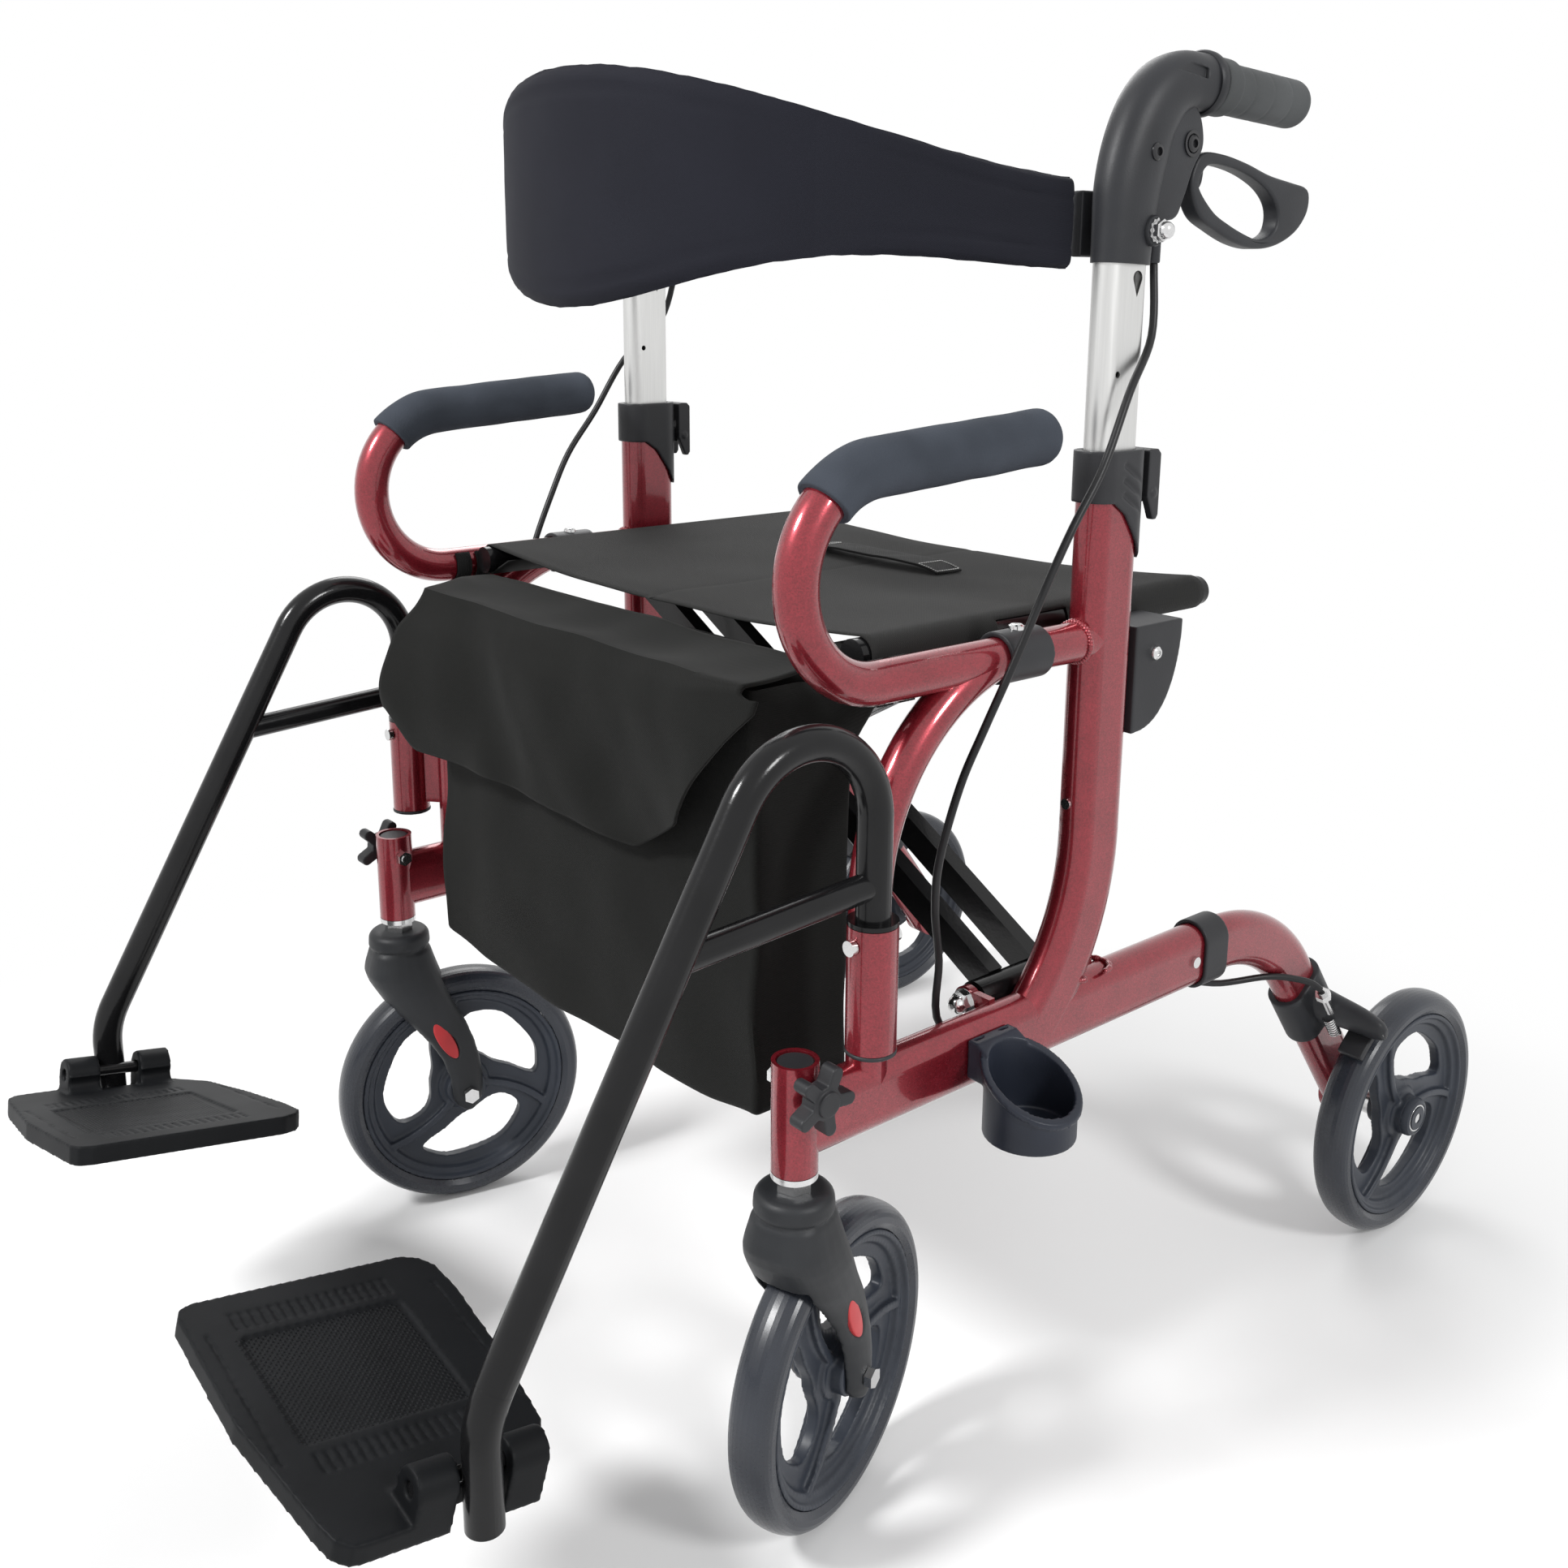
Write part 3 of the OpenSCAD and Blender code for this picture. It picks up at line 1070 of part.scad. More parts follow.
// Two side arms that carry the backrest on its flip bolts
module back_arm() {
    slab(back_x - 4, back_x + 4) {
        translate([back_y + 0.3, back_zend - 19]) square([20, 38]);
        translate(back_pin) circle(r = 14);
        polygon([[back_y + 20, back_zend - 19], [back_y + 20, back_zend + 19],
            [back_pin[0] + 4, back_pin[1] + 13],
            [back_pin[0] + 4, back_pin[1] - 13]]);
    }
    rod_x(14, back_x + 4, xf - 14, back_pin[0], back_pin[1]);
    rod_x(back_bolt, back_x, xf + 22, back_pin[0], back_pin[1]);
    hex_x(13, xf + 14.4, xf + 20, back_pin[0], back_pin[1]);
    translate([xf + 20, back_pin[0], back_pin[1]]) rotate([0, 90, 0]) rounded_rod(10.6, 4.6, 4);
}
module backrest_arm_left() color(black) left() back_arm();
module backrest_arm_right() color(black) right() back_arm();

side_frame_left();
side_frame_right();
rear_leg_left();
rear_leg_right();
tube_collars_left();
tube_collars_right();
arm_pad_left();
arm_pad_right();
seat_saddle_left();
seat_saddle_right();
seat_rest_left();
seat_rest_right();
lock_housing_left();
lock_housing_right();
lock_lever_left();
lock_lever_right();
handle_tube_left();
handle_tube_right();
handle_shell_left();
handle_shell_right();
hand_grip_left();
hand_grip_right();
brake_lever_left();
brake_lever_right();
brake_cable_left();
brake_cable_right();
brake_housing_left();
brake_housing_right();
brake_shoe_left();
brake_shoe_right();
frame_bolts_left();
frame_bolts_right();
star_knob_left();
star_knob_right();
caster_fork_left();
caster_fork_right();
caster_bolts_left();
caster_bolts_right();
front_rim_left();
front_rim_right();
front_tyre_left();
front_tyre_right();
rear_rim_left();
rear_rim_right();
rear_tyre_left();
rear_tyre_right();
footrest_left();
footrest_right();
footplate_left();
footplate_right();
cane_cup();
cross_arm_a();
cross_arm_b();
cross_bolt();
seat();
bag();
bag_flap();
backrest();
backrest_arm_left();
backrest_arm_right();
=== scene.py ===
"""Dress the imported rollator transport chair: paint, metal, mouldings, cloth, cables and small trim."""
import json
from math import atan2, copysign, cos, exp, hypot, pi, radians, sin

import bmesh
import bpy
from bmesh import ops
from bmesh.types import BMEdge, BMFace, BMVert
from mathutils import Matrix, Vector, noise


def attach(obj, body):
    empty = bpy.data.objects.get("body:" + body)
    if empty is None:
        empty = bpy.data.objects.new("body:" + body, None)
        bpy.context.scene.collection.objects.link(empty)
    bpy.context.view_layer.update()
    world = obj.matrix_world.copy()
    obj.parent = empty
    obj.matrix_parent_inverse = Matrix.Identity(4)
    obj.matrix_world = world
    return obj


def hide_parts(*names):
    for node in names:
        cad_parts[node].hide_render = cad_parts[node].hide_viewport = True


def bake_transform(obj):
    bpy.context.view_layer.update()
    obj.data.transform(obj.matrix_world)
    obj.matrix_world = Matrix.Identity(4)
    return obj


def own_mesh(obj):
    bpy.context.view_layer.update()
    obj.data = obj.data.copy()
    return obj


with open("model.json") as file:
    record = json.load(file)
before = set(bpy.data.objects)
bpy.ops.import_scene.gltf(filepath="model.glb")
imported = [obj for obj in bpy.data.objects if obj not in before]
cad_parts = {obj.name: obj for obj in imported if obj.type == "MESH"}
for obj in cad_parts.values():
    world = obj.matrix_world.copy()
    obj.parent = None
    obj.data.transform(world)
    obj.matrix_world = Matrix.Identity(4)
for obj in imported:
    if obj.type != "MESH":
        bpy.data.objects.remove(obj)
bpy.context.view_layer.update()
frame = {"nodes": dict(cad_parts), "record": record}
nodes = frame["nodes"]
joints = {joint["name"]: joint for joint in frame["record"]["behaviour"]["joints"]}

# Places on the chair in metres: sideways from its middle, along from the casters, up from the ground
AXLE = Vector((0.288, 0.601, 0.1))
HUB = Vector((0, AXLE.y, AXLE.z))
RAIL_X, RAIL_Z = 0.243, 0.531
GRIP_Z = 0.863
LEVER_PIN = (0.297, 0.827)
BACK_PIVOT = (0.261, 0.776)
SIDES = (("left", 1), ("right", -1))
# The left rear axle is known in both frames, so it gives the row frame's shift
SHIFT = Vector(joints["left_rear_wheel_spin"]["pos_m"]) - AXLE

# Sizes of the cross brace, whose folding brings the right side in, and the frame's half width, with the brace's
# angle at rest and its swing to the fold's limit
BRACE_RISE, BRACE_RUN, BRACE_ARM, FRAME_HALF = 0.238, 0.427, 0.2507, 0.219
FOLD_REST = atan2(BRACE_RISE, BRACE_RUN)
FOLD_SWING = radians(joints["fold"]["range_deg"][1])

# The foot plates' sunk panel: its middle sideways and along the row frame, and its half sizes
HINGE = Vector(joints["left_footplate_flip"]["pos_m"])
PANEL = (HINGE.x - SHIFT.x - 0.1005, HINGE.y - 0.015)
PANEL_HALF = (0.0415, 0.0455)


def at(x, y, z):
    """Place in metres of a point given in millimetres from the middle of the caster line."""
    return Vector((x, y, z)) * 0.001 + SHIFT


# Shader sums and materials

class Wire:
    """A shader socket that takes part in Python sums."""

    def __init__(self, socket):
        self.socket = socket

    def sum(self, operation, first, second=0.0):
        node = self.socket.id_data.nodes.new("ShaderNodeMath")
        node.operation = operation
        feed(node.inputs[0], first)
        feed(node.inputs[1], second)
        return Wire(node.outputs[0])

    def __add__(self, other):
        return self.sum("ADD", self, other)

    __radd__ = __add__

    def __sub__(self, other):
        return self.sum("SUBTRACT", self, other)

    def __rsub__(self, other):
        return self.sum("SUBTRACT", other, self)

    def __mul__(self, other):
        return self.sum("MULTIPLY", self, other)

    __rmul__ = __mul__

    def __gt__(self, other):
        return self.sum("GREATER_THAN", self, other)

    def sine(self):
        return self.sum("SINE", self)

    def lift(self):
        return self.sum("MAXIMUM", self, 0.0)

    def size(self):
        return self.sum("ABSOLUTE", self)


def feed(socket, value):
    """Link a wire to a socket, or set the socket's own value."""
    if isinstance(value, Wire):
        socket.id_data.links.new(value.socket, socket)
    else:
        socket.default_value = value


class Graph:
    """A node tree with one way to add any node."""

    def __init__(self, tree):
        self.tree = tree

    def add(self, kind, values=None, out=0, **settings):
        """Add a node: its type, what its sockets get, the output that is used, and its settings."""
        node = self.tree.nodes.new("ShaderNode" + kind)
        for key, value in settings.items():
            if key == "stops":
                ramp = node.color_ramp.elements
                while len(ramp) < len(value):
                    ramp.new(0.5)
                for stop, (position, tone) in zip(ramp, value):
                    stop.position, stop.color = position, (*tone, 1)
            else:
                setattr(node, key, value)
        for key, value in (values or {}).items():
            feed(node.inputs[key], value)
        return Wire(node.outputs[out])

    def backdrop_rays(self):
        """1 for the rays that show the backdrop: to the camera, in gloss and through glass."""
        camera, gloss, through = [self.add("LightPath", out=f"Is {kind} Ray")
                                  for kind in ("Camera", "Glossy", "Transmission")]
        return camera.sum("MINIMUM", camera + gloss + through, 1.0)


class Finish(Graph):
    """A procedural material round one Principled shader."""

    def __init__(self, name, look):
        self.material = bpy.data.materials.new(name)
        self.material.use_nodes = True
        super().__init__(self.material.node_tree)
        self.shader = self.tree.nodes["Principled BSDF"]
        self.place = self.add("TexCoord", out="Object")
        self.set(look)

    def set(self, look):
        for key, value in look.items():
            feed(self.shader.inputs[key], value)

    def speckle(self, scale, detail=2.0, stretch=(1, 1, 1)):
        """Noise from 0 to 1, with scale in cycles a metre."""
        where = self.add("Mapping", {"Vector": self.place, "Scale": stretch})
        return self.add("TexNoise", {"Vector": where, "Scale": scale, "Detail": detail})

    def shades(self, factor, *stops):
        """Colour between stops by a factor."""
        return self.add("ValToRGB", {"Fac": factor}, stops=stops)

    def tones(self, factor, tone, *stops):
        """Colour between darker and lighter shares of one tone by a factor."""
        return self.shades(factor, *[(stop, [share * v for v in tone]) for stop, share in stops])

    def dressed(self, colour, rough, height, depth):
        """The material with its colour, roughness and a height map whose full step is depth in metres."""
        normal = self.add("Bump", {"Height": height, "Distance": depth, "Strength": 1.0})
        self.set({"Base Color": colour, "Roughness": rough, "Normal": normal})
        return self.material

    def along(self, axis):
        """Place along one axis, X, Y or Z, in metres."""
        return self.add("SeparateXYZ", {0: self.place}, axis)

    def waves(self, axis, pitch):
        """Sine waves of a pitch in metres along one axis."""
        return (self.along(axis) * (2 * pi / pitch)).sine()


def metallic_paint(name, dark, light):
    """Clear-coated paint with fine metal flakes and a slight orange peel."""
    paint = Finish(name, {"Metallic": 0.55, "Coat Weight": 0.9, "Coat Roughness": 0.07})
    flake = paint.add("TexVoronoi", {"Vector": paint.place, "Scale": 1500.0}, "Color")
    grain = paint.add("RGBToBW", {"Color": flake})
    cloud = paint.speckle(40.0)
    colour = paint.shades(grain * 0.6 + cloud * 0.4, (0.2, dark), (0.8, light))
    return paint.dressed(colour, 0.34 - grain * 0.08, paint.speckle(260.0), 0.00004)


def powder_coat(name, tone):
    """Smooth black powder coat with a soft sheen and a faint ripple."""
    coat = Finish(name, {"Specular IOR Level": 0.22, "Coat Weight": 0.12, "Coat Roughness": 0.07})
    colour = coat.tones(coat.speckle(30.0), tone, (0.3, 0.8), (0.7, 1.3))
    return coat.dressed(colour, 0.17 + 0.06 * coat.speckle(90.0), coat.speckle(420.0), 0.00005)


def moulding(name, tone, rough, grain=0.00006, scale=1100.0, gloss=0.3):
    """Moulded plastic or rubber with an etched grain and a little handling wear."""
    skin = Finish(name, {"Specular IOR Level": gloss})
    cloud = skin.speckle(22.0)
    colour = skin.tones(cloud, tone, (0.3, 0.85), (0.75, 1.25))
    return skin.dressed(colour, rough - 0.08 * cloud + 0.06 * skin.speckle(300.0), skin.speckle(scale), grain)


def bright_metal(name, tone, rough, stretch=(1, 1, 1)):
    """Bare or plated metal, with drawn lines where stretch is uneven."""
    metal = Finish(name, {"Metallic": 1.0})
    lines = metal.speckle(700.0, 3.0, stretch)
    colour = metal.tones(lines, tone, (0.3, 0.93), (0.7, 1))
    return metal.dressed(colour, rough + 0.08 * lines, lines, 0.000015)


def woven(name, tone, weft, warp, pitch, depth, rough=0.85):
    """Plain weave on two axes, of a thread pitch in metres, with uneven dye and a dull face."""
    cloth = Finish(name, {"Specular IOR Level": 0.12, "Sheen Weight": 0.03, "Sheen Roughness": 0.5})
    threads = cloth.waves(weft, pitch) * cloth.waves(warp, pitch)
    cloud = cloth.speckle(9.0, 4.0)
    fuzz = cloth.speckle(900.0)
    dye = cloud * 0.6 + 0.2 + threads * 0.1 + fuzz * 0.15
    colour = cloth.tones(dye, tone, (0.3, 0.75), (0.9, 1.35))
    return cloth.dressed(colour, rough - 0.05 * threads, threads * 0.5 + fuzz * 0.4, depth)


def tread_plate(name, tone, pitch=0.0038):
    """Black moulding with a fine raised grid in the sunk panel of each foot plate."""
    skin = Finish(name, {"Specular IOR Level": 0.13})
    sideways = (skin.along("X") - SHIFT.x).size() - PANEL[0]
    ahead = skin.along("Y") - PANEL[1]
    panel = (1 - (sideways.size() > PANEL_HALF[0])) * (1 - (ahead.size() > PANEL_HALF[1]))
    studs = (skin.waves("X", pitch) * skin.waves("Y", pitch)).lift() * panel
    cloud = skin.speckle(22.0)
    colour = skin.tones(cloud, tone, (0.3, 0.85), (0.75, 1.25))
    relief = studs + 0.1 * skin.speckle(900.0)
    return skin.dressed(colour, 0.56 - 0.08 * cloud + 0.06 * studs, relief, 0.0005)


RED = metallic_paint("deep red paint", (0.15, 0.006, 0.012), (0.32, 0.020, 0.034))
BLACK_TUBE = powder_coat("black powder coat", (0.006, 0.006, 0.0065))
PLASTIC = moulding("black moulding", (0.022, 0.0225, 0.025), 0.46)
SHELL = moulding("dark grey handle moulding", (0.020, 0.021, 0.024), 0.46)
FORK = moulding("dark grey fork moulding", (0.020, 0.0215, 0.024), 0.48)
TREAD = moulding("slate polyurethane", (0.026, 0.0295, 0.038), 0.28, 0.00002, gloss=0.45)
RIM = moulding("slate rim moulding", (0.028, 0.033, 0.044), 0.40, 0.00003)
GRIP = moulding("grip rubber", (0.060, 0.064, 0.066), 0.62, 0.00008, 700.0)
FOAM = moulding("navy foam", (0.046, 0.053, 0.066), 0.92, 0.00025, 900.0, 0.15)
SLEEVE = moulding("cable sleeve", (0.010, 0.010, 0.011), 0.4, 0.00002)
CUP = moulding("navy cup moulding", (0.020, 0.024, 0.036), 0.40)
PLATE = tread_plate("foot plate moulding", (0.0058, 0.0064, 0.0074))
ALUMINIUM = bright_metal("anodised aluminium", (0.70, 0.70, 0.69), 0.34, (1, 1, 0.03))
CHROME = bright_metal("bright plating", (0.72, 0.72, 0.72), 0.14)
SCREW = moulding("blackened screw", (0.012, 0.012, 0.014), 0.3, 0.00001, gloss=0.5)
NYLON = woven("black nylon", (0.0088, 0.0090, 0.0084), "X", "Z", 0.0012, 0.00010)
# Painted light: the seat cloth is the black nylon made lighter, standing in for the overhead light on the
# seat's top
SEAT_NYLON_PAINTED_TOP_LIGHT = woven("black seat nylon with painted top light", (0.021, 0.021, 0.0205), "X", "Y", 0.0014, 0.00014)
WEBBING = woven("black webbing", (0.012, 0.012, 0.012), "X", "Y", 0.0022, 0.0003, 0.75)
BAND = woven("navy black knit", (0.011, 0.0115, 0.017), "X", "Z", 0.0008, 0.00006, 0.78)
THREAD = woven("pale thread", (0.55, 0.55, 0.54), "X", "Y", 0.0007, 0.00005)
INLAY = moulding("coral red inlay", (0.50, 0.035, 0.040), 0.35, 0.00001)

# The kinds of node that each finish covers
FINISHES = {
    RED: "side_frame rear_leg", FOAM: "arm_pad", ALUMINIUM: "handle_tube", SHELL: "handle_shell brake_lever",
    GRIP: "hand_grip", SLEEVE: "brake_cable", FORK: "caster_fork", RIM: "front_rim rear_rim",
    TREAD: "front_tyre rear_tyre", PLATE: "footplate", CUP: "cane_cup", SEAT_NYLON_PAINTED_TOP_LIGHT: "seat", NYLON: "bag bag_flap",
    BAND: "backrest", BLACK_TUBE: "footrest cross_arm_a cross_arm_b",
    CHROME: "frame_bolts caster_bolts cross_bolt",
    PLASTIC: "tube_collars seat_saddle seat_rest lock_housing lock_lever brake_housing brake_shoe star_knob "
             "backrest_arm",
}
FINISH_OF = {kind: finish for finish, kinds in FINISHES.items() for kind in kinds.split()}
# Mouldings whose edges are eased: voxel in metres and smoothing rounds
EASED = {
    "tube_collars": (0.0008, 6), "seat_saddle": (0.0008, 6), "seat_rest": (0.0009, 6),
    "lock_housing": (0.0008, 5), "lock_lever": (0.0007, 6), "star_knob": (0.0006, 6),
    "caster_fork": (0.0011, 8), "backrest_arm": (0.0008, 6), "cane_cup": (0.0009, 4),
    "footplate": (0.0011, 4), "front_rim": (0.0012, 3), "rear_rim": (0.0012, 3), "hand_grip": (0.0008, 14),
}


def modify(obj, *modifiers):
    """Add modifiers, each given as a type and its settings."""
    for kind, settings in modifiers:
        modifier = obj.modifiers.new(kind.lower(), kind)
        for key, value in settings.items():
            setattr(modifier, key, value)


for name, node in nodes.items():
    kind = name.removesuffix("_left").removesuffix("_right")
    node.data.materials.clear()
    node.data.materials.append(FINISH_OF[kind])
    if kind in EASED:
        voxel, rounds = EASED[kind]
        modify(node, ("WELD", {"merge_threshold": 0.00001}),
               ("REMESH", {"mode": "VOXEL", "voxel_size": voxel, "use_smooth_shade": True}),
               ("SMOOTH", {"factor": 0.5, "iterations": rounds}))


# Camera, floor and light

# The photograph's camera: place in millimetres, angles, focal length and frame in pixels, and shift
EYE = (857.6, -530.6, 742.8)
TURN, TILT, ROLL = radians(49.79), radians(13.78), radians(0.37)
FOCAL_PIXELS, FRAME_PIXELS, SENSOR = 1956.9, 1932, 36
EYE_SHIFT = (0.0008, -0.0689)
# Lamps, all aimed at one place: name, place and size in metres, and power
LAMP_AIM = Vector((0, 0, 0.5))
LAMPS = (("key lamp", (-0.5, -2.4, 2.6), 0.7, 80), ("side lamp", (3.0, 0.2, 2.2), 0.7, 45),
         ("back lamp", (-2.4, 1.6, 2.6), 2.0, 35))


def shown(name, data):
    """New object in the scene."""
    obj = bpy.data.objects.new(name, data)
    bpy.context.collection.objects.link(obj)
    return obj


def camera():
    """Camera at the photograph's place, with its framing from the shift."""
    data = bpy.data.cameras.new("camera")
    eye = shown("camera", data)
    eye.matrix_world = Matrix.Translation(at(*EYE))
    for angle, axis in ((TURN, "Z"), (pi / 2 - TILT, "X"), (ROLL, "Z")):
        eye.matrix_world = eye.matrix_world @ Matrix.Rotation(angle, 4, axis)
    data.sensor_width = SENSOR
    data.lens = FOCAL_PIXELS * SENSOR / FRAME_PIXELS
    data.shift_x, data.shift_y = EYE_SHIFT
    data.clip_start, data.clip_end = 0.01, 50
    bpy.context.scene.camera = eye


def lamps():
    for name, place, size, power in LAMPS:
        data = bpy.data.lights.new(name, "AREA")
        data.shape = "DISK"
        data.size, data.energy = size, power
        lamp = shown(name, data)
        lamp.location = place
        lamp.rotation_mode = "QUATERNION"
        lamp.rotation_quaternion = (LAMP_AIM - Vector(place)).to_track_quat("-Z", "Y")


def studio():
    """White backdrop, an even sky, and a pale floor that keeps the shadow and fades to white."""
    sky = bpy.data.worlds.new("studio sky")
    sky.use_nodes = True
    graph = Graph(sky.node_tree)
    light = graph.add("Background", {"Color": (1, 1, 1, 1), "Strength": 0.6})
    white = graph.add("Background", {"Color": (1, 1, 1, 1), "Strength": 1.0})
    mixed = graph.add("MixShader", {0: graph.backdrop_rays(), 1: light, 2: white})
    feed(graph.tree.nodes["World Output"].inputs["Surface"], mixed)
    bpy.context.scene.world = sky
    bm = bmesh.new()
    ops.create_grid(bm, x_segments=1, y_segments=1, size=14)
    mesh = bpy.data.meshes.new("floor")
    bm.to_mesh(mesh)
    bm.free()
    floor = shown("floor", mesh)
    ground = Finish("pale floor", {"Base Color": (0.93, 0.93, 0.93, 1), "Roughness": 0.9,
                                   "Specular IOR Level": 0.05})
    away = ground.add("VectorMath", {0: ground.place}, "Value", operation="LENGTH")
    fade = ground.add("MapRange", {"Value": away, "From Min": 0.35, "From Max": 1.0},
                      interpolation_type="SMOOTHSTEP")
    glow = ground.add("Emission", {"Color": (1, 1, 1, 1), "Strength": 1.0})
    shaded = Wire(ground.shader.outputs[0])
    mixed = ground.add("MixShader", {0: fade * ground.backdrop_rays(), 1: shaded, 2: glow})
    feed(ground.tree.nodes["Material Output"].inputs["Surface"], mixed)
    mesh.materials.append(ground.material)


camera()
studio()
lamps()
bpy.context.scene.view_settings.view_transform = "Standard"


# Mesh helpers

def part(name, bm, finish, slot=None, body=None, sharp=0.7, sheet=False):
    """Turn a bmesh, drawn in the chair's own frame in metres, into a named piece in the row frame."""
    if not sheet:  # a sheet has no outside
        ops.recalc_face_normals(bm, faces=bm.faces)
    ops.translate(bm, vec=SHIFT, verts=bm.verts)
    mesh = bpy.data.meshes.new(name)
    bm.to_mesh(mesh)
    bm.free()
    for face in mesh.polygons:
        face.use_smooth = True
    mesh.set_sharp_from_angle(angle=sharp)
    mesh.materials.append(finish)
    obj = shown(name, mesh)
    if body:
        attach(obj, body)
    return obj


def baked(obj):
    """Smooth mesh of an object as its modifiers or its curve make it."""
    graph = bpy.context.evaluated_depsgraph_get()
    mesh = bpy.data.meshes.new_from_object(obj.evaluated_get(graph))
    for face in mesh.polygons:
        face.use_smooth = True
    return mesh


def settle(obj, *modifiers):
    """Add modifiers and apply them to the mesh."""
    modify(obj, *modifiers)
    mesh = baked(obj)
    obj.modifiers.clear()
    obj.data = mesh


def pair():
    """Both sides of the chair, each with its sign and a new mesh."""
    for side, sign in SIDES:
        yield side, sign, bmesh.new()


def mm(*values):
    return Vector(values) * 0.001


def only(kind, geom):
    return [g for g in geom if isinstance(g, kind)]


def push(bm, geom, step):
    """Extrude the edges or faces of geom by a step, and return the new geometry of the same kind."""
    if isinstance(geom[0], BMFace):
        kind, made = BMFace, ops.extrude_face_region(bm, geom=geom)["geom"]
    else:
        kind, made = BMEdge, ops.extrude_edge_only(bm, edges=geom)["geom"]
    ops.translate(bm, vec=step, verts=only(BMVert, made))
    return only(kind, made)


def sweep(bm, edges, way, steps):
    """Extrude edges along a way in even steps, and return the last ones."""
    for step in range(steps):
        edges = push(bm, edges, way / steps)
    return edges


def hoop(bm, segments, radius, place):
    """Upright ring that faces along the chair."""
    ring = ops.create_circle(bm, segments=segments, radius=radius)["verts"]
    ops.rotate(bm, cent=(0, 0, 0), matrix=Matrix.Rotation(pi / 2, 3, "X"), verts=ring)
    ops.translate(bm, vec=place, verts=ring)
    return ring


def shrink(ring, share):
    """Draw a ring of edges towards its middle."""
    verts = list({v for e in ring for v in e.verts})
    middle = sum((v.co for v in verts), Vector()) / len(verts)
    for v in verts:
        v.co = middle + (v.co - middle) * share


def close(bm):
    """Fill every open rim."""
    ops.holes_fill(bm, edges=[e for e in bm.edges if e.is_boundary], sides=0)


def soften(bm, edges, offset, segments=4):
    """Round some edges."""
    ops.bevel(bm, geom=edges, offset=offset, segments=segments, profile=0.5, affect="EDGES", material=-1)


def sharp_edges(bm):
    return [e for e in bm.edges if len(e.link_faces) == 2 and e.calc_face_angle(0) > 1]


def edges_of(faces):
    return list({e for f in faces for e in f.edges})


def slice_at(bm, place, normal, near=0.0):
    """Cut new edges along a plane, except where vertices are already near it."""
    ops.bisect_plane(bm, geom=bm.verts[:] + bm.edges[:] + bm.faces[:], plane_co=place, plane_no=normal,
                     dist=near)


def closed_ring(bm, places):
    """Vertices at some places, and the edges of a ring through them."""
    rim = [bm.verts.new(place) for place in places]
    return rim, [bm.edges.new(ends) for ends in zip(rim, rim[1:] + rim[:1])]


def loft(bm, sides, stations, spot):
    """Closed skin through rings: spot gives a place from a station and a point of the unit circle."""
    known = set(bm.edges)
    ring = ops.create_circle(bm, segments=sides, radius=1)["verts"]
    edges = [e for e in bm.edges if e not in known]
    units = [v.co.copy() for v in ring]
    for i, station in enumerate(stations):
        for v, unit in zip(ring, units):
            v.co = spot(station, unit)
        if i < len(stations) - 1:
            made = ops.extrude_edge_only(bm, edges=edges)["geom"]
            fresh = set(only(BMVert, made))
            edges = [e for e in only(BMEdge, made) if set(e.verts) <= fresh]
            ring = [next(e.other_vert(v) for e in v.link_edges if e.other_vert(v) in fresh) for v in ring]
    close(bm)


def turned(bm, profile, place, axis, steps=32):
    """Turn a profile of radius and height pairs, in millimetres, round an axis through a place."""
    known = set(bm.verts)
    line = [bm.verts.new(mm(r, 0, h)) for r, h in profile]
    edges = [bm.edges.new(ends) for ends in zip(line, line[1:])]
    ops.spin(bm, geom=line + edges, cent=(0, 0, 0), axis=(0, 0, 1), angle=2 * pi, steps=steps, use_merge=True)
    ops.remove_doubles(bm, verts=[v for v in bm.verts if v not in known], dist=0.000002)
    made = [v for v in bm.verts if v not in known]
    facing = Vector((0, 0, 1)).rotation_difference(Vector(axis)).to_matrix().to_4x4()
    ops.transform(bm, matrix=Matrix.Translation(place) @ facing, verts=made)
    return made


def stud(bm, profile, sign, out, place, steps=32):
    """Turn a profile that faces sideways, some way out from the rail's middle on one side."""
    return turned(bm, profile, (sign * (RAIL_X + out), *place), (sign, 0, 0), steps)


def curve_through(points, steps):
    """Smooth line through points, with a few steps from each to the next."""
    line = []
    for i in range(len(points) - 1):
        a, b, c, d = points[max(i - 1, 0)], points[i], points[i + 1], points[min(i + 2, len(points) - 1)]
        for j in range(steps):
            t = j / steps
            bend, twist = 2 * a - 5 * b + 4 * c - d, 3 * b - a - 3 * c + d
            line.append(0.5 * (2 * b + (c - a) * t + bend * t ** 2 + twist * t ** 3))
    return line + [points[-1]]


def ripple(point, scale, depth):
    """Smooth noise of a given depth at a point, with scale in bumps a metre."""
    return noise.noise(point * scale) * depth


def bell(value, width):
    return exp(-(value / width) ** 2)


def rise(value, low, high):
    """Smooth step from 0 at low to 1 at high."""
    share = max(0.0, min(1.0, (value - low) / (high - low)))
    return share * share * (3 - 2 * share)


# Seat sling on its two tubes

SEAT_X, SEAT_Z, SEAT_FRONT, SEAT_BACK = 0.208, 0.538, 0.076, 0.390
# Radius of the sleeves' middle layer, and where the brace bars pass through the sleeves
SEAT_WRAP = 0.0111
BAR_GAP = (0.181, 0.247)
SLING_RIGHT, SLING_LEFT = at(-190, 214, 540), at(190, 214, 540)


def sling_height(x, y):
    """Height of the sling's middle layer, sagging between the tubes and slack at its hems."""
    sag = 0.008 * (1 - (x / SEAT_X) ** 2)
    loose = 1 - (x / SEAT_X) ** 4
    hem = bell(y - SEAT_FRONT, 0.014) + bell(y - SEAT_BACK, 0.014)
    return SEAT_Z + SEAT_WRAP - sag - 0.0018 * hem * loose + ripple(Vector((x, y, 0)), 14, 0.0012) * loose


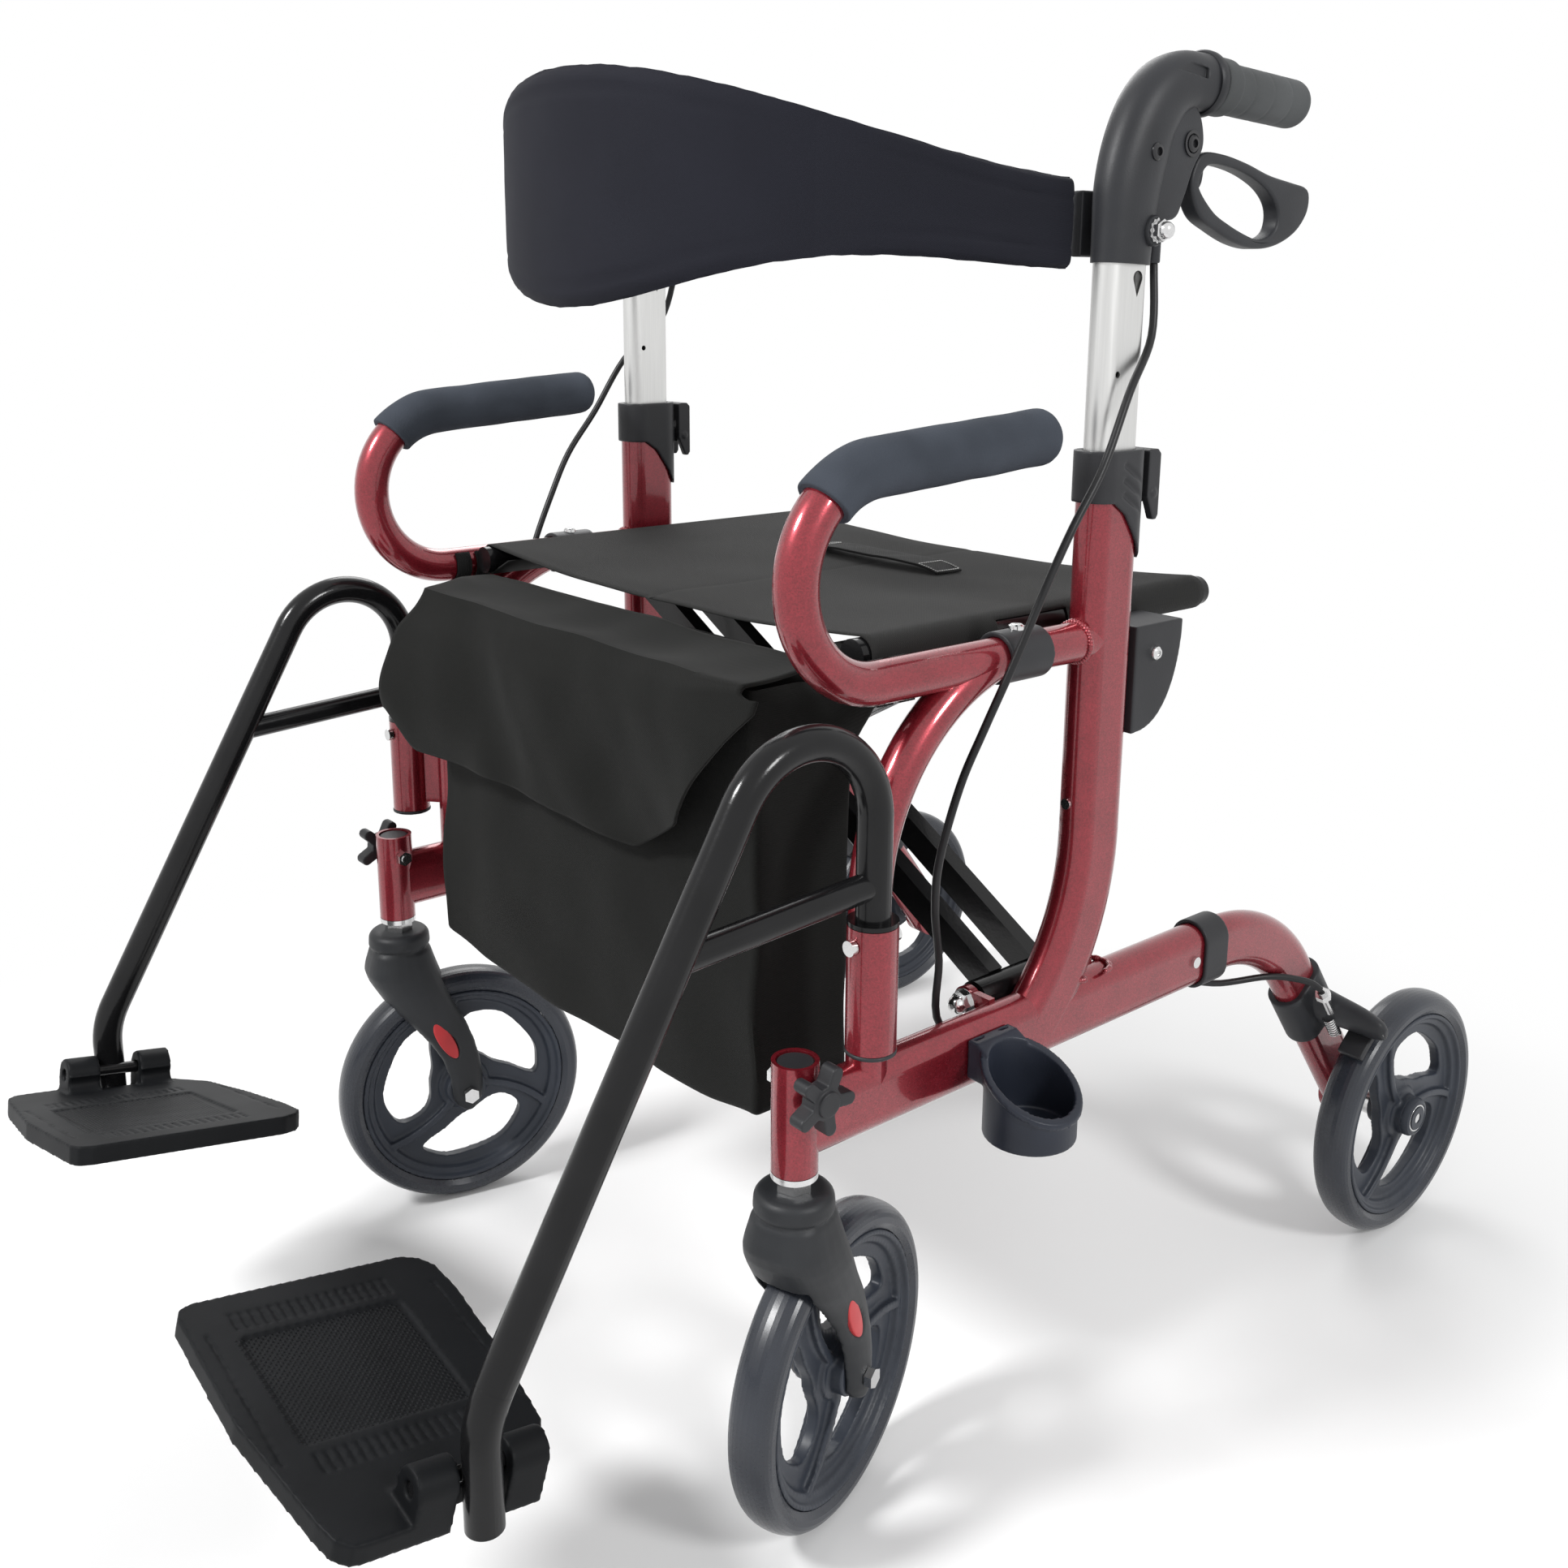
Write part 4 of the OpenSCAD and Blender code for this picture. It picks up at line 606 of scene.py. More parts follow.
def in_bar_gap(face):
    """Whether a face of the sleeves is in the way of a brace bar."""
    x, y, z = face.calc_center_median()
    return BAR_GAP[0] < y < BAR_GAP[1] and 0.17 < abs(x) < SEAT_X + 0.012 and z < SEAT_Z + 0.0068


def seat_sling():
    """One sheet: under and round each tube, then across, with gaps in the sleeves for the brace bars."""
    bm = bmesh.new()
    start = [bm.verts.new((SEAT_X, SEAT_FRONT, SEAT_Z - SEAT_WRAP))]
    ops.spin(bm, geom=start, cent=(SEAT_X, SEAT_FRONT, SEAT_Z), axis=(0, -1, 0), angle=pi, steps=12)
    seam = ops.extrude_vert_indiv(bm, verts=start)["verts"]
    ops.translate(bm, vec=mm(-26, 0, 13), verts=seam)
    top = max(bm.verts, key=lambda v: v.co.z)
    across = ops.extrude_vert_indiv(bm, verts=[top])
    across["verts"][0].co = (0, SEAT_FRONT, SEAT_Z + SEAT_WRAP)
    ops.subdivide_edges(bm, edges=across["edges"], cuts=31)
    ops.mirror(bm, geom=bm.verts[:] + bm.edges[:], axis="X", merge_dist=0.0001)
    sweep(bm, bm.edges[:], Vector((0, SEAT_BACK - SEAT_FRONT, 0)), 52)
    for v in bm.verts:
        if abs(v.co.x) < SEAT_X - 0.0001 and v.co.z > SEAT_Z + 0.0105:
            v.co.z = sling_height(v.co.x, v.co.y)
    for y in BAR_GAP:
        slice_at(bm, (0, y, 0), (0, 1, 0))
    ops.delete(bm, geom=[f for f in bm.faces if in_bar_gap(f)], context="FACES")
    sling = part("seat_sling", bm, SEAT_NYLON_PAINTED_TOP_LIGHT, "black_cloth", sheet=True)
    settle(sling, ("SOLIDIFY", {"thickness": 0.0011, "offset": 0}))
    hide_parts("seat")
    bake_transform(sling)
    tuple(SLING_RIGHT)
    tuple(SLING_LEFT)


STRAP_HALF, STRAP_Y, STRAP_WIDE = 0.074, 0.288, 0.026


def strap_height(x, y):
    """Height under the strap, which arches over the sling between its sewn ends."""
    return sling_height(x, y) + 0.0055 * (1 - (x / STRAP_HALF) ** 4)


def pull_strap():
    """Webbing handle sewn to the sling, with a boxed seam of pale thread at its ends."""
    bm = bmesh.new()
    ops.create_grid(bm, x_segments=40, y_segments=6, size=1)
    for v in bm.verts:
        v.co = (v.co.x * STRAP_HALF, STRAP_Y + v.co.y * STRAP_WIDE / 2, 0)
        v.co.z = strap_height(v.co.x, v.co.y) + 0.0019 + ripple(v.co, 60, 0.0004)
    strap = part("pull_strap", bm, WEBBING, "black_cloth", sheet=True)
    settle(strap, ("SOLIDIFY", {"thickness": 0.0018, "offset": 0}), ("BEVEL", {"width": 0.0005, "segments": 2}))
    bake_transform(strap)
    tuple(SLING_RIGHT)
    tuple(SLING_LEFT)
    outer, inner, edge, stitch = STRAP_HALF - 0.0015, STRAP_HALF - 0.02, 0.0115, 0.0024
    corners = [(outer, -edge), (outer, edge), (inner, edge), (inner, -edge)]
    for side, sign in SIDES[::-1]:
        bm = bmesh.new()
        for (x0, y0), (x1, y1) in zip(corners, corners[1:] + corners[:1]):
            count = max(4, round(hypot(x1 - x0, y1 - y0) / stitch))
            along = Matrix.Rotation(atan2(y1 - y0, x1 - x0), 4, "Z") @ Matrix.Diagonal((1.35, 0.6, 0.5, 1))
            for i in range(count):
                share = (i + 0.5) / count
                x, y = sign * (x0 + (x1 - x0) * share), STRAP_Y + y0 + (y1 - y0) * share
                made = ops.create_icosphere(bm, subdivisions=1, radius=0.0008)["verts"]
                place = Matrix.Translation((x, y, strap_height(x, y) + 0.0031))
                ops.transform(bm, matrix=place @ along, verts=made)
        seam = part("strap_seam_" + side, bm, THREAD, "black_cloth")
        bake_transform(seam)
        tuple(SLING_RIGHT)
        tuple(SLING_LEFT)


# Backrest band

BACK_X, BACK_Y, BACK_DEPTH, BACK_Z = 0.222, 0.232, 0.216, 0.780
# The band stops a little short of the brackets' ends
BACK_END = radians(88)


def band_edges(angle):
    """Upper and lower edge of the band at an angle from its middle."""
    c = max(0.0, cos(angle))
    upper = BACK_Z + 0.026 + 0.0634 * c ** 1.9
    lower = BACK_Z - 0.026 + 0.009 * sin(2 * angle) ** 2 - 0.0246 * c ** 5
    return upper, lower


def backrest_band():
    """Padded band: a flat loop spun half round, then drawn to the band's height, padding and hems."""
    reach = 10
    bm = bmesh.new()
    hoop(bm, 64, 1, (reach, 0, 0))
    ops.spin(bm, geom=bm.edges[:], cent=(0, 0, 0), axis=(0, 0, 1), angle=pi, steps=120)
    close(bm)
    for v in bm.verts:
        angle = (atan2(v.co.y, v.co.x) - pi / 2) * BACK_END / (pi / 2)
        out, share = hypot(v.co.x, v.co.y) - reach, max(-1.0, min(1.0, v.co.z))
        share = copysign(abs(share) ** 0.8, share)
        upper, lower = band_edges(angle)
        high = (upper - lower) / 2
        rim = (1 - abs(share)) * high
        tail = (BACK_END - abs(angle)) * 0.22
        thick = 0.0052 * (1 - abs(share) ** 9) ** 0.5 - 0.0011 * bell(rim - 0.0125, 0.0016)
        thick -= 0.0011 * bell(tail - 0.013, 0.0016) + 0.0012 * bell(tail, 0.004)
        thick += ripple(Vector((angle * 3, share, copysign(1, out))), 2.2, 0.0006) if rim > 0.014 else 0
        side = copysign(min(1.0, abs(out) * 2.2), out)
        normal = Vector((-BACK_DEPTH * sin(angle), BACK_X * cos(angle), 0)).normalized()
        place = Vector((-BACK_X * sin(angle), BACK_Y - BACK_DEPTH * cos(angle), 0))
        place -= normal * side * thick
        edge_wave = ripple(Vector((angle * 0.22, share, 0)), 90, 0.0008) * abs(share) ** 4
        v.co = (place.x, place.y, (upper + lower) / 2 + share * high + edge_wave)
    band = part("backrest_band", bm, BAND, "back_cloth", "backrest")
    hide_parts("backrest")
    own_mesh(band)


# Foam arm pads

# The arm tube's bend: its middle and radius, the arm's slope, and the part of the bend under the foam
ARM_MIDDLE, ARM_BEND = (0.057, 0.5905), 0.0595
ARM_SLOPE, PAD_ARC = radians(3.9), radians(40)
PAD_RADIUS, PAD_ROUND, PAD_RUN = 0.0166, 0.011, 0.128


def arm_pads():
    """Foam sleeves: a cut ring swept round the tube's bend and along the arm to a closed, rounded end."""
    ahead = Vector((0, cos(ARM_SLOPE), sin(ARM_SLOPE)))
    steps = 6
    for side, sign, bm in pair():
        centre = Vector((sign * RAIL_X, *ARM_MIDDLE))
        ring = hoop(bm, 40, PAD_RADIUS, centre + Vector((0, 0, ARM_BEND)))
        ops.rotate(bm, cent=centre, matrix=Matrix.Rotation(ARM_SLOPE + PAD_ARC, 3, "X"), verts=ring)
        first = bm.edges[:]
        made = ops.spin(bm, geom=first, cent=centre, axis=(-1, 0, 0), angle=PAD_ARC, steps=14)["geom_last"]
        line = sweep(bm, only(BMEdge, made), ahead * PAD_RUN, 26)
        size, along = PAD_RADIUS, 0.0
        for i in range(1, steps + 1):
            angle = pi / 2 * i / steps
            line = push(bm, line, ahead * PAD_ROUND * (sin(angle) - along))
            smaller = PAD_RADIUS - PAD_ROUND * (1 - cos(angle))
            shrink(line, smaller / size)
            size, along = smaller, sin(angle)
        ops.holes_fill(bm, edges=line, sides=0)
        shrink(push(bm, first, Vector()), 0.77)
        for v in bm.verts:
            v.co.z += ripple(v.co, 45, 0.0005)
        pad = part("foam_pad_" + side, bm, FOAM, "foam", side + "_frame")
        settle(pad, ("BEVEL", {"width": 0.0012, "segments": 3, "limit_method": "ANGLE", "angle_limit": 0.9}))
        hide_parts("arm_pad_" + side)


# Bag under the seat and its flap

BAG_HALF, BAG_FRONT, BAG_BACK, BAG_TOP, BAG_LOW = 0.188, 0.016, 0.090, 0.522, 0.252
LOOPS = (0.059, 0.076)
LOOP_WIDTH = 0.012


def bag_drape(v):
    """Soft, hung shape of the bag's walls: slack panels, a sagging floor, corded corners and flared sides."""
    across = v.x / BAG_HALF
    down = (BAG_TOP - v.z) / (BAG_TOP - BAG_LOW)
    face = bell(v.y - BAG_FRONT, 0.02)
    belly = (1 - across ** 2) * sin(pi * min(1, down * 0.85 + 0.12))
    out = Vector()
    out.y -= face * (0.005 * belly + ripple(v, 8, 0.007) + ripple(v, 21, 0.003))
    out.z -= 0.006 * (1 - across ** 2) * rise(down, 0.6, 1)
    out.z += 0.004 * rise(abs(across), 0.7, 1) * rise(down, 0.7, 1)
    if abs(across) > 0.96:
        through = (v.y - BAG_FRONT) / (BAG_BACK - BAG_FRONT)
        slack = sin(pi * max(0, min(1, down))) * sin(pi * through)
        flare = 0.026 * rise(v.z, BAG_TOP - 0.055, BAG_TOP) * rise(v.y, 0.045, 0.075)
        out.x += copysign(1, v.x) * (flare - 0.005 * slack + ripple(v, 16, 0.003))
    corner = min(abs(v.y - BAG_FRONT), abs(v.y - BAG_BACK)) + abs(abs(v.x) - BAG_HALF)
    cord = 0.0016 * bell(corner, 0.004)
    out.x += copysign(cord, v.x)
    out.y += cord * (-1 if v.y < 0.05 else 1)
    return out


def bag_body():
    bm = bmesh.new()
    ops.create_cube(bm, size=1)
    size = Vector((2 * BAG_HALF, BAG_BACK - BAG_FRONT, BAG_TOP - BAG_LOW))
    ops.scale(bm, vec=size, verts=bm.verts)
    ops.translate(bm, vec=(0, (BAG_FRONT + BAG_BACK) / 2, (BAG_TOP + BAG_LOW) / 2), verts=bm.verts)
    mouth = [f for f in bm.faces if f.normal.z > 0.9]
    ops.delete(bm, geom=mouth, context="FACES")
    soften(bm, [e for e in bm.edges if not e.is_boundary], 0.006)
    for axis, count in enumerate((48, 12, 34)):
        normal = Matrix.Identity(3)[axis]
        places = [v.co[axis] for v in bm.verts]
        low, high = min(places), max(places)
        for i in range(1, count):
            slice_at(bm, normal * (low + (high - low) * i / count), normal, 0.0004)
    for v in bm.verts:
        v.co += bag_drape(v.co)
    bag = part("bag_body", bm, NYLON, "black_cloth", "left_frame")
    settle(bag, ("SOLIDIFY", {"thickness": 0.0016, "offset": -1}))
    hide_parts("bag")
    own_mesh(bag)


def bag_tabs():
    """Webbing tabs from the bag's upper sides to the loops round the rails."""
    for side, sign, bm in pair():
        for y in LOOPS:
            start = [bm.verts.new((sign * 0.208, y + d, 0.513)) for d in (0, LOOP_WIDTH)]
            line = [bm.edges.new(start)]
            for step in range(8):
                line = push(bm, line, Vector((sign * 0.0035, 0, 0.0004 + 0.0001 * step)))
        tab = part("bag_tab_" + side, bm, WEBBING, "black_cloth", "left_frame")
        settle(tab, ("SOLIDIFY", {"thickness": 0.002, "offset": 0}))
        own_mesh(tab)
        bm = bmesh.new()
        for y in LOOPS:
            start = [bm.verts.new((sign * (RAIL_X - 0.0100), y, RAIL_Z + 0.0098))]
            known = set(bm.edges)
            ops.spin(bm, geom=start, cent=(sign * RAIL_X, y, RAIL_Z), axis=(0, -sign, 0), angle=radians(130),
                     steps=24)
            sweep(bm, [e for e in bm.edges if e not in known], Vector((0, LOOP_WIDTH, 0)), 4)
        loop = part("bag_loop_" + side, bm, WEBBING, "black_cloth", side + "_frame")
        settle(loop, ("SOLIDIFY", {"thickness": 0.0016, "offset": 0}))


FLAP_HALF, FLAP_BACK, FLAP_CREASE, FLAP_FALL = 0.188, 0.066, 0.011, 0.118
# How much wider each side of the flap is where it hangs
FLAP_SPREAD = 0.016


def flap_length(x):
    """Hanging length of the flap at a place across it: a small far corner and a long, rounded near one."""
    far = 0.030 * rise(-x, 0.168, 0.204) ** 1.5
    near = 0.56 * max(0.0, x - 0.088) + 0.73 * max(0.0, x - 0.146)
    return FLAP_FALL - far - near + 0.003 * sin(14 * x)


def bag_flap():
    """Flap over the bag: sewn back edge, a top that rises to it, a front crease and a shaped front."""
    bm = bmesh.new()
    ops.create_grid(bm, x_segments=100, y_segments=72, size=1)
    top_run = FLAP_BACK - FLAP_CREASE
    for v in bm.verts:
        share, run = v.co.x, (1 - v.co.y) / 2 * (top_run + FLAP_FALL)
        hang = max(0.0, run - top_run)
        x = share * (FLAP_HALF + FLAP_SPREAD * rise(hang, 0, 0.05))
        hang *= flap_length(x) / FLAP_FALL
        back = max(0.0, top_run - run)
        turn = rise(run, top_run - 0.010, top_run + 0.012)
        y = FLAP_CREASE + back - 0.009 * rise(hang, 0, 0.03)
        y -= 0.003 * sin(pi * min(1, hang / FLAP_FALL))
        z = BAG_TOP + 0.0035 - hang + 0.004 * rise(back, 0, top_run)
        z += min(back, top_run - back) * 0.12 * bell(share + 1, 0.16)
        z -= 0.004 * (1 - share ** 2) * sin(pi * min(1, back / top_run))
        flare = 0.015 * rise(-share, 0.45, 1) * rise(hang, 0.01, 0.08)
        flare += 0.004 * rise(share, 0.6, 1) * rise(hang, 0.01, 0.06)
        folds = ripple(Vector((x, 0, z)), 9, 0.009) + ripple(Vector((x, 0, z)), 23, 0.0028)
        folds += ripple(Vector((x + 0.7 * z, 0, 0.3 * z)), 17, 0.005)
        wave = (1 - turn) * ripple(Vector((x, y, 0)), 18, 0.0022)
        v.co = (x, y - flare - turn * (0.005 + folds), z + wave)
    area = sum(face.calc_area() for face in bm.faces)
    flap = part("bag_cover", bm, NYLON, "black_cloth", "bag_flap", sheet=True)
    settle(flap, ("SOLIDIFY", {"thickness": 0.002, "offset": 0}))
    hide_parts("bag_flap")
    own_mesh(flap)


# Brake cables

CABLE = [
    (243, 279, 766), (244, 280, 753), (252, 271, 715), (262, 240, 683), (267, 213, 641), (268, 187, 608),
    (266, 168, 575), (263, 148, 535), (256, 131, 494), (247, 122, 459), (238, 116, 412), (230, 122, 376),
    (223, 134, 338), (221, 139, 292), (224, 190, 261), (225, 230, 257), (225, 300, 256), (225, 380, 252),
    (233, 426, 241), (251, 463, 242), (265, 491, 235), (272, 500, 228),
]
CABLE_WIDE = 0.005


def brake_cables():
    for side, sign in SIDES:
        path = [at(sign * p.x, p.y, p.z) for p in curve_through([Vector(p) for p in CABLE], 6)]
        data = bpy.data.curves.new("cable line", "CURVE")
        data.dimensions = "3D"
        data.bevel_depth = CABLE_WIDE / 2
        data.bevel_resolution = 4
        data.use_fill_caps = True
        spline = data.splines.new("POLY")
        spline.points.add(len(path) - 1)
        for point, place in zip(spline.points, path):
            point.co = (*place, 1)
        line = shown("cable line", data)
        mesh = baked(line)
        bpy.data.objects.remove(line)
        mesh.materials.append(SLEEVE)
        cable = shown("cable_" + side, mesh)
        length = sum((b - a).length for a, b in zip(path, path[1:]))
        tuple(path[0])
        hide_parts("brake_cable_" + side)
        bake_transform(cable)


# Handle shells

SHELL_LINE = [  # place along the chair, height from the grip, half depth and half width, in millimetres
    (248.6, -106, 21.3, 13.2), (249.3, -86, 21.8, 14.0), (251.0, -64, 23.0, 15.0), (256.5, -42, 22.6, 15.9),
    (265.5, -22, 20.9, 16.4), (278, -8, 19.0, 16.7), (294, -1, 17.8, 16.9), (308, 0, 17.2, 17.0),
    (319, 0, 17.0, 17.0),
]
CHEEK = [(256, -80), (284, -80), (293, -68), (301, -50), (309, -38), (308, -26), (302, -16), (290, -10),
         (262, -16)]
FLANGE = [(15, 0), (18.4, 0), (19.2, 1.2), (19.4, 3.5), (19.2, 6), (18, 7.2), (15, 7.2)]
PIVOT_BOSS = [(6, -2), (9, -2), (9, 1.2), (8.4, 2.2), (6, 2.2)]
FERRULE = [(2.7, 0), (4.0, 0), (4.4, 0.8), (4.4, 12), (5.2, 16), (5.2, 30), (2.7, 30), (2.7, 0)]


def shell_spot(station, unit):
    """Place on the shell, from the grip's height, of a point of the unit circle at a station."""
    (y, h, deep, wide), out = station
    across, over = [copysign(abs(c) ** 0.88, c) for c in unit.xy]
    return mm(across * wide, y, h) + out * (over * deep * 0.001)


def handle_shells():
    """Moulded elbow from tube to grip, with cheeks for the lever, a flange at the grip and a cable ferrule."""
    line = curve_through([Vector(row) for row in SHELL_LINE], 7)
    stations = []
    for before, here, after in zip(line[:1] + line, line, line[1:] + line[-1:]):
        ahead = Vector((0, after.x - before.x, after.y - before.y)).normalized()
        stations.append((here, ahead.cross(Vector((1, 0, 0)))))
    cheek_line = curve_through([Vector((0, *p)) for p in CHEEK + CHEEK[:1]], 5)[:-1]
    for side, sign, bm in pair():
        middle = Vector((sign * RAIL_X, 0, GRIP_Z))
        loft(bm, 48, stations, lambda station, unit: middle + shell_spot(station, unit))
        for cheek in (-1, 1):
            rim = [bm.verts.new(middle + Vector((cheek * 0.0045, 0, 0)) + p * 0.001) for p in cheek_line]
            face = ops.contextual_create(bm, geom=rim)["faces"]
            cap = push(bm, face, Vector((cheek * 0.006, 0, 0)))
            soften(bm, edges_of(cap), 0.0022)
        turned(bm, FLANGE, (sign * RAIL_X, 0.3125, GRIP_Z), (0, 1, 0), 48)
        stud(bm, PIVOT_BOSS, sign, 0.0135, BACK_PIVOT)
        turned(bm, FERRULE, (sign * RAIL_X, 0.2795, 0.758), (0, 0, 1))
        shell = part("handle_shell_" + side + "_moulded", bm, SHELL, "black_plastic", side + "_handle")
        bm = bmesh.new()
        ops.create_cube(bm, size=1)
        ops.scale(bm, vec=mm(6, 26, 6.4), verts=bm.verts)
        soften(bm, bm.edges[:], 0.0008, 2)
        place = Matrix.Translation((sign * (RAIL_X + 0.0172), 0.288, GRIP_Z + 0.005))
        ops.transform(bm, matrix=place @ Matrix.Rotation(radians(-8), 4, "X"), verts=bm.verts)
        cutter = part("slot_cutter", bm, SHELL)
        settle(shell, ("BOOLEAN", {"operation": "DIFFERENCE", "object": cutter}))
        bpy.data.objects.remove(cutter)
        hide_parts("handle_shell_" + side)


BUTTON = [(0, 0.8), (2.3, 0.8), (2.5, 2.6), (4.0, 2.4), (5.0, 1.4), (5.2, 0), (0, 0)]
BUTTON_RING = [(5.8, -1), (7.6, -1), (7.6, 1.0), (5.8, 1.0)]
WASHER = [(3, 0), (7.4, 0), (7.4, 1), (3, 1)]
HEXAGON = [(0, 1), (6.4, 1), (6.6, 1.4), (6.6, 5.2), (6.2, 5.8), (0, 5.8)]
DOME = [(5.2, 5.6), (5.2, 7.2), (4.9, 8.6), (4.0, 10), (2.4, 11), (0, 11.4)]


def handle_hardware():
    """Two black button screws on each shell, and the bright cap nut on its toothed washer."""
    teeth = 24
    for side, sign, bm in pair():
        stud(bm, BUTTON, sign, 0.0105, LEVER_PIN)
        stud(bm, BUTTON_RING, sign, 0.0105, LEVER_PIN)
        stud(bm, BUTTON, sign, 0.0152, (0.257, 0.820))
        part("shell_screws_" + side, bm, SCREW, "steel", side + "_handle", 0.5)
        bm = bmesh.new()
        for v in stud(bm, WASHER, sign, 0.0157, BACK_PIVOT, teeth):
            away = Vector((0, v.co.y - BACK_PIVOT[0], v.co.z - BACK_PIVOT[1]))
            if away.length > 0.006 and round(atan2(away.z, away.y) / (2 * pi / teeth)) % 2:
                v.co -= away * 0.14
        stud(bm, HEXAGON, sign, 0.0157, BACK_PIVOT, 6)
        stud(bm, DOME, sign, 0.0157, BACK_PIVOT, 24)
        part("back_pivot_nut_" + side, bm, CHROME, "steel", side + "_handle", 0.5)


# Brake levers

# Places along the chair and up from the grip, in millimetres
LEVER_OUT = [(306, -62), (307, -50), (316, -40), (336, -39.5), (362, -43.5), (388, -49.5), (414, -53),
             (430, -55.5), (434.5, -62), (432, -73), (420, -84.5), (400, -92.5), (378, -95), (356, -92),
             (334, -85), (316, -77)]
LEVER_IN = [(314, -60), (317, -51), (326, -46), (346, -47), (366, -51), (384, -57.5), (395, -65), (399.5, -73),
            (398, -82), (390, -87.5), (379, -89), (366, -86.5), (348, -81), (330, -73.5)]
TANG = [(288, -37), (291, -43.5), (299, -47), (309, -62), (318, -58), (319, -44), (310, -36), (304, -31),
        (296, -28), (290, -31)]
LEVER_HALF, TANG_HALF = 0.0062, 0.0034


def closed_line(points, count):
    """Evenly spaced places on a smooth closed line through points."""
    looped = [Vector((0, *points[i % len(points)])) for i in range(-2, len(points) + 3)]
    smooth = curve_through(looped, 10)[20:-20]
    length = [0.0]
    for a, b in zip(smooth, smooth[1:]):
        length.append(length[-1] + (b - a).length)
    spots, spot = [], 0
    for i in range(count):
        want = length[-1] * i / count
        while length[spot + 1] < want:
            spot += 1
        part_way = (want - length[spot]) / (length[spot + 1] - length[spot])
        spots.append(smooth[spot].lerp(smooth[spot + 1], part_way))
    return spots


def outline(bm, points, count, x):
    """Smooth closed ring of edges through points, at a place across the chair."""
    return closed_ring(bm, [(x, p.y * 0.001, GRIP_Z + p.z * 0.001) for p in closed_line(points, count)])[1]


def brake_levers():
    """Thin loop lever with rounded edges, its tang on the pivot pin between the shell's cheeks."""
    for side, sign, bm in pair():
        rims = [e for line in (LEVER_OUT, LEVER_IN) for e in outline(bm, line, 96, sign * RAIL_X - LEVER_HALF)]
        band = ops.bridge_loops(bm, edges=rims)["faces"]
        push(bm, band, Vector((2 * LEVER_HALF, 0, 0)))
        soften(bm, sharp_edges(bm), 0.0022)
        tang = outline(bm, TANG, 48, sign * RAIL_X - TANG_HALF)
        face = ops.contextual_create(bm, geom=tang)["faces"]
        push(bm, face, Vector((2 * TANG_HALF, 0, 0)))
        turned(bm, [(0, -9), (3, -9), (3, 9), (0, 9)], (sign * RAIL_X, *LEVER_PIN), (1, 0, 0), 20)
        lever = part("brake_loop_" + side, bm, SHELL, "black_plastic", side + "_brake_lever", 0.5)
        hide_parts("brake_lever_" + side)


# Caster forks

# How far each fork is turned on its stem, in degrees
FORK_TURN = {"left": 18.5, "right": 13}


def fork_inlays():
    """Red oval plates in the recesses of the fork legs."""
    rake = Matrix.Rotation(radians(27), 4, "X")
    for side, sign, bm in pair():
        for leg in (-1, 1):
            known = set(bm.verts)
            rim = ops.create_circle(bm, segments=48, radius=1, cap_ends=True)["verts"]
            ops.scale(bm, vec=mm(5.8, 19.3, 1), verts=rim)
            cap = push(bm, rim[0].link_faces[:], mm(0, 0, 3.3))
            soften(bm, edges_of(cap), 0.0011, 3)
            plate = [v for v in bm.verts if v not in known]
            # The plate's own x and y become the leg's fore-aft and upright
            stand = Matrix(((0, 0, leg), (1, 0, 0), (0, 1, 0))).to_4x4()
            lean = rake @ Matrix.Rotation(leg * radians(2.5), 4, "Y")
            place = Matrix.Translation((leg * 0.02445, 0.0268, 0.1512))
            ops.transform(bm, matrix=place @ lean @ stand, verts=plate)
        turn = Matrix.Rotation(radians(FORK_TURN[side]), 4, "Z")
        stem = Matrix.Diagonal((sign, 1, 1, 1)) @ Matrix.Translation((RAIL_X, 0, 0))
        ops.transform(bm, matrix=stem @ turn, verts=bm.verts)
        part("fork_inlay_" + side, bm, INLAY, "red_paint", side + "_caster")


# Rear brakes and hubs

LEG_DOWN = Vector((0, 0.6, -0.8))
LEG_OUT = Vector((0, 0.8, 0.6))
# Middle of the brake on the leg's line, and the sleeve's radius, flat sides and length
BRAKE = HUB - LEG_DOWN * 0.128
SLEEVE_RADIUS, SLEEVE_FLAT, SLEEVE_LONG = 0.0147, 0.010, 0.05
WING = [  # place across the chair, then along and out from the leg's line, half length and half depth, in mm
    (246, 4, 3, 22, 13.5), (254, 5, 4, 21, 12.5), (262, 6, 5, 19, 11), (272, 7.5, 5.5, 17.5, 9.8),
    (284, 9, 5.5, 16, 9), (294, 10, 5, 15, 8.2), (302, 10, 4.2, 12.5, 7), (308, 9.5, 3.4, 9, 5.2),
    (311, 9.2, 3, 3.5, 2.2),
]


def wing_spot(station, unit):
    """Place on the wing, from the brake's middle, of a point of the unit circle at a station."""
    x, down, out, long, deep = station
    return (Vector((x, 0, 0)) + LEG_DOWN * (down + unit.x * long) + LEG_OUT * (out + unit.y * deep)) * 0.001


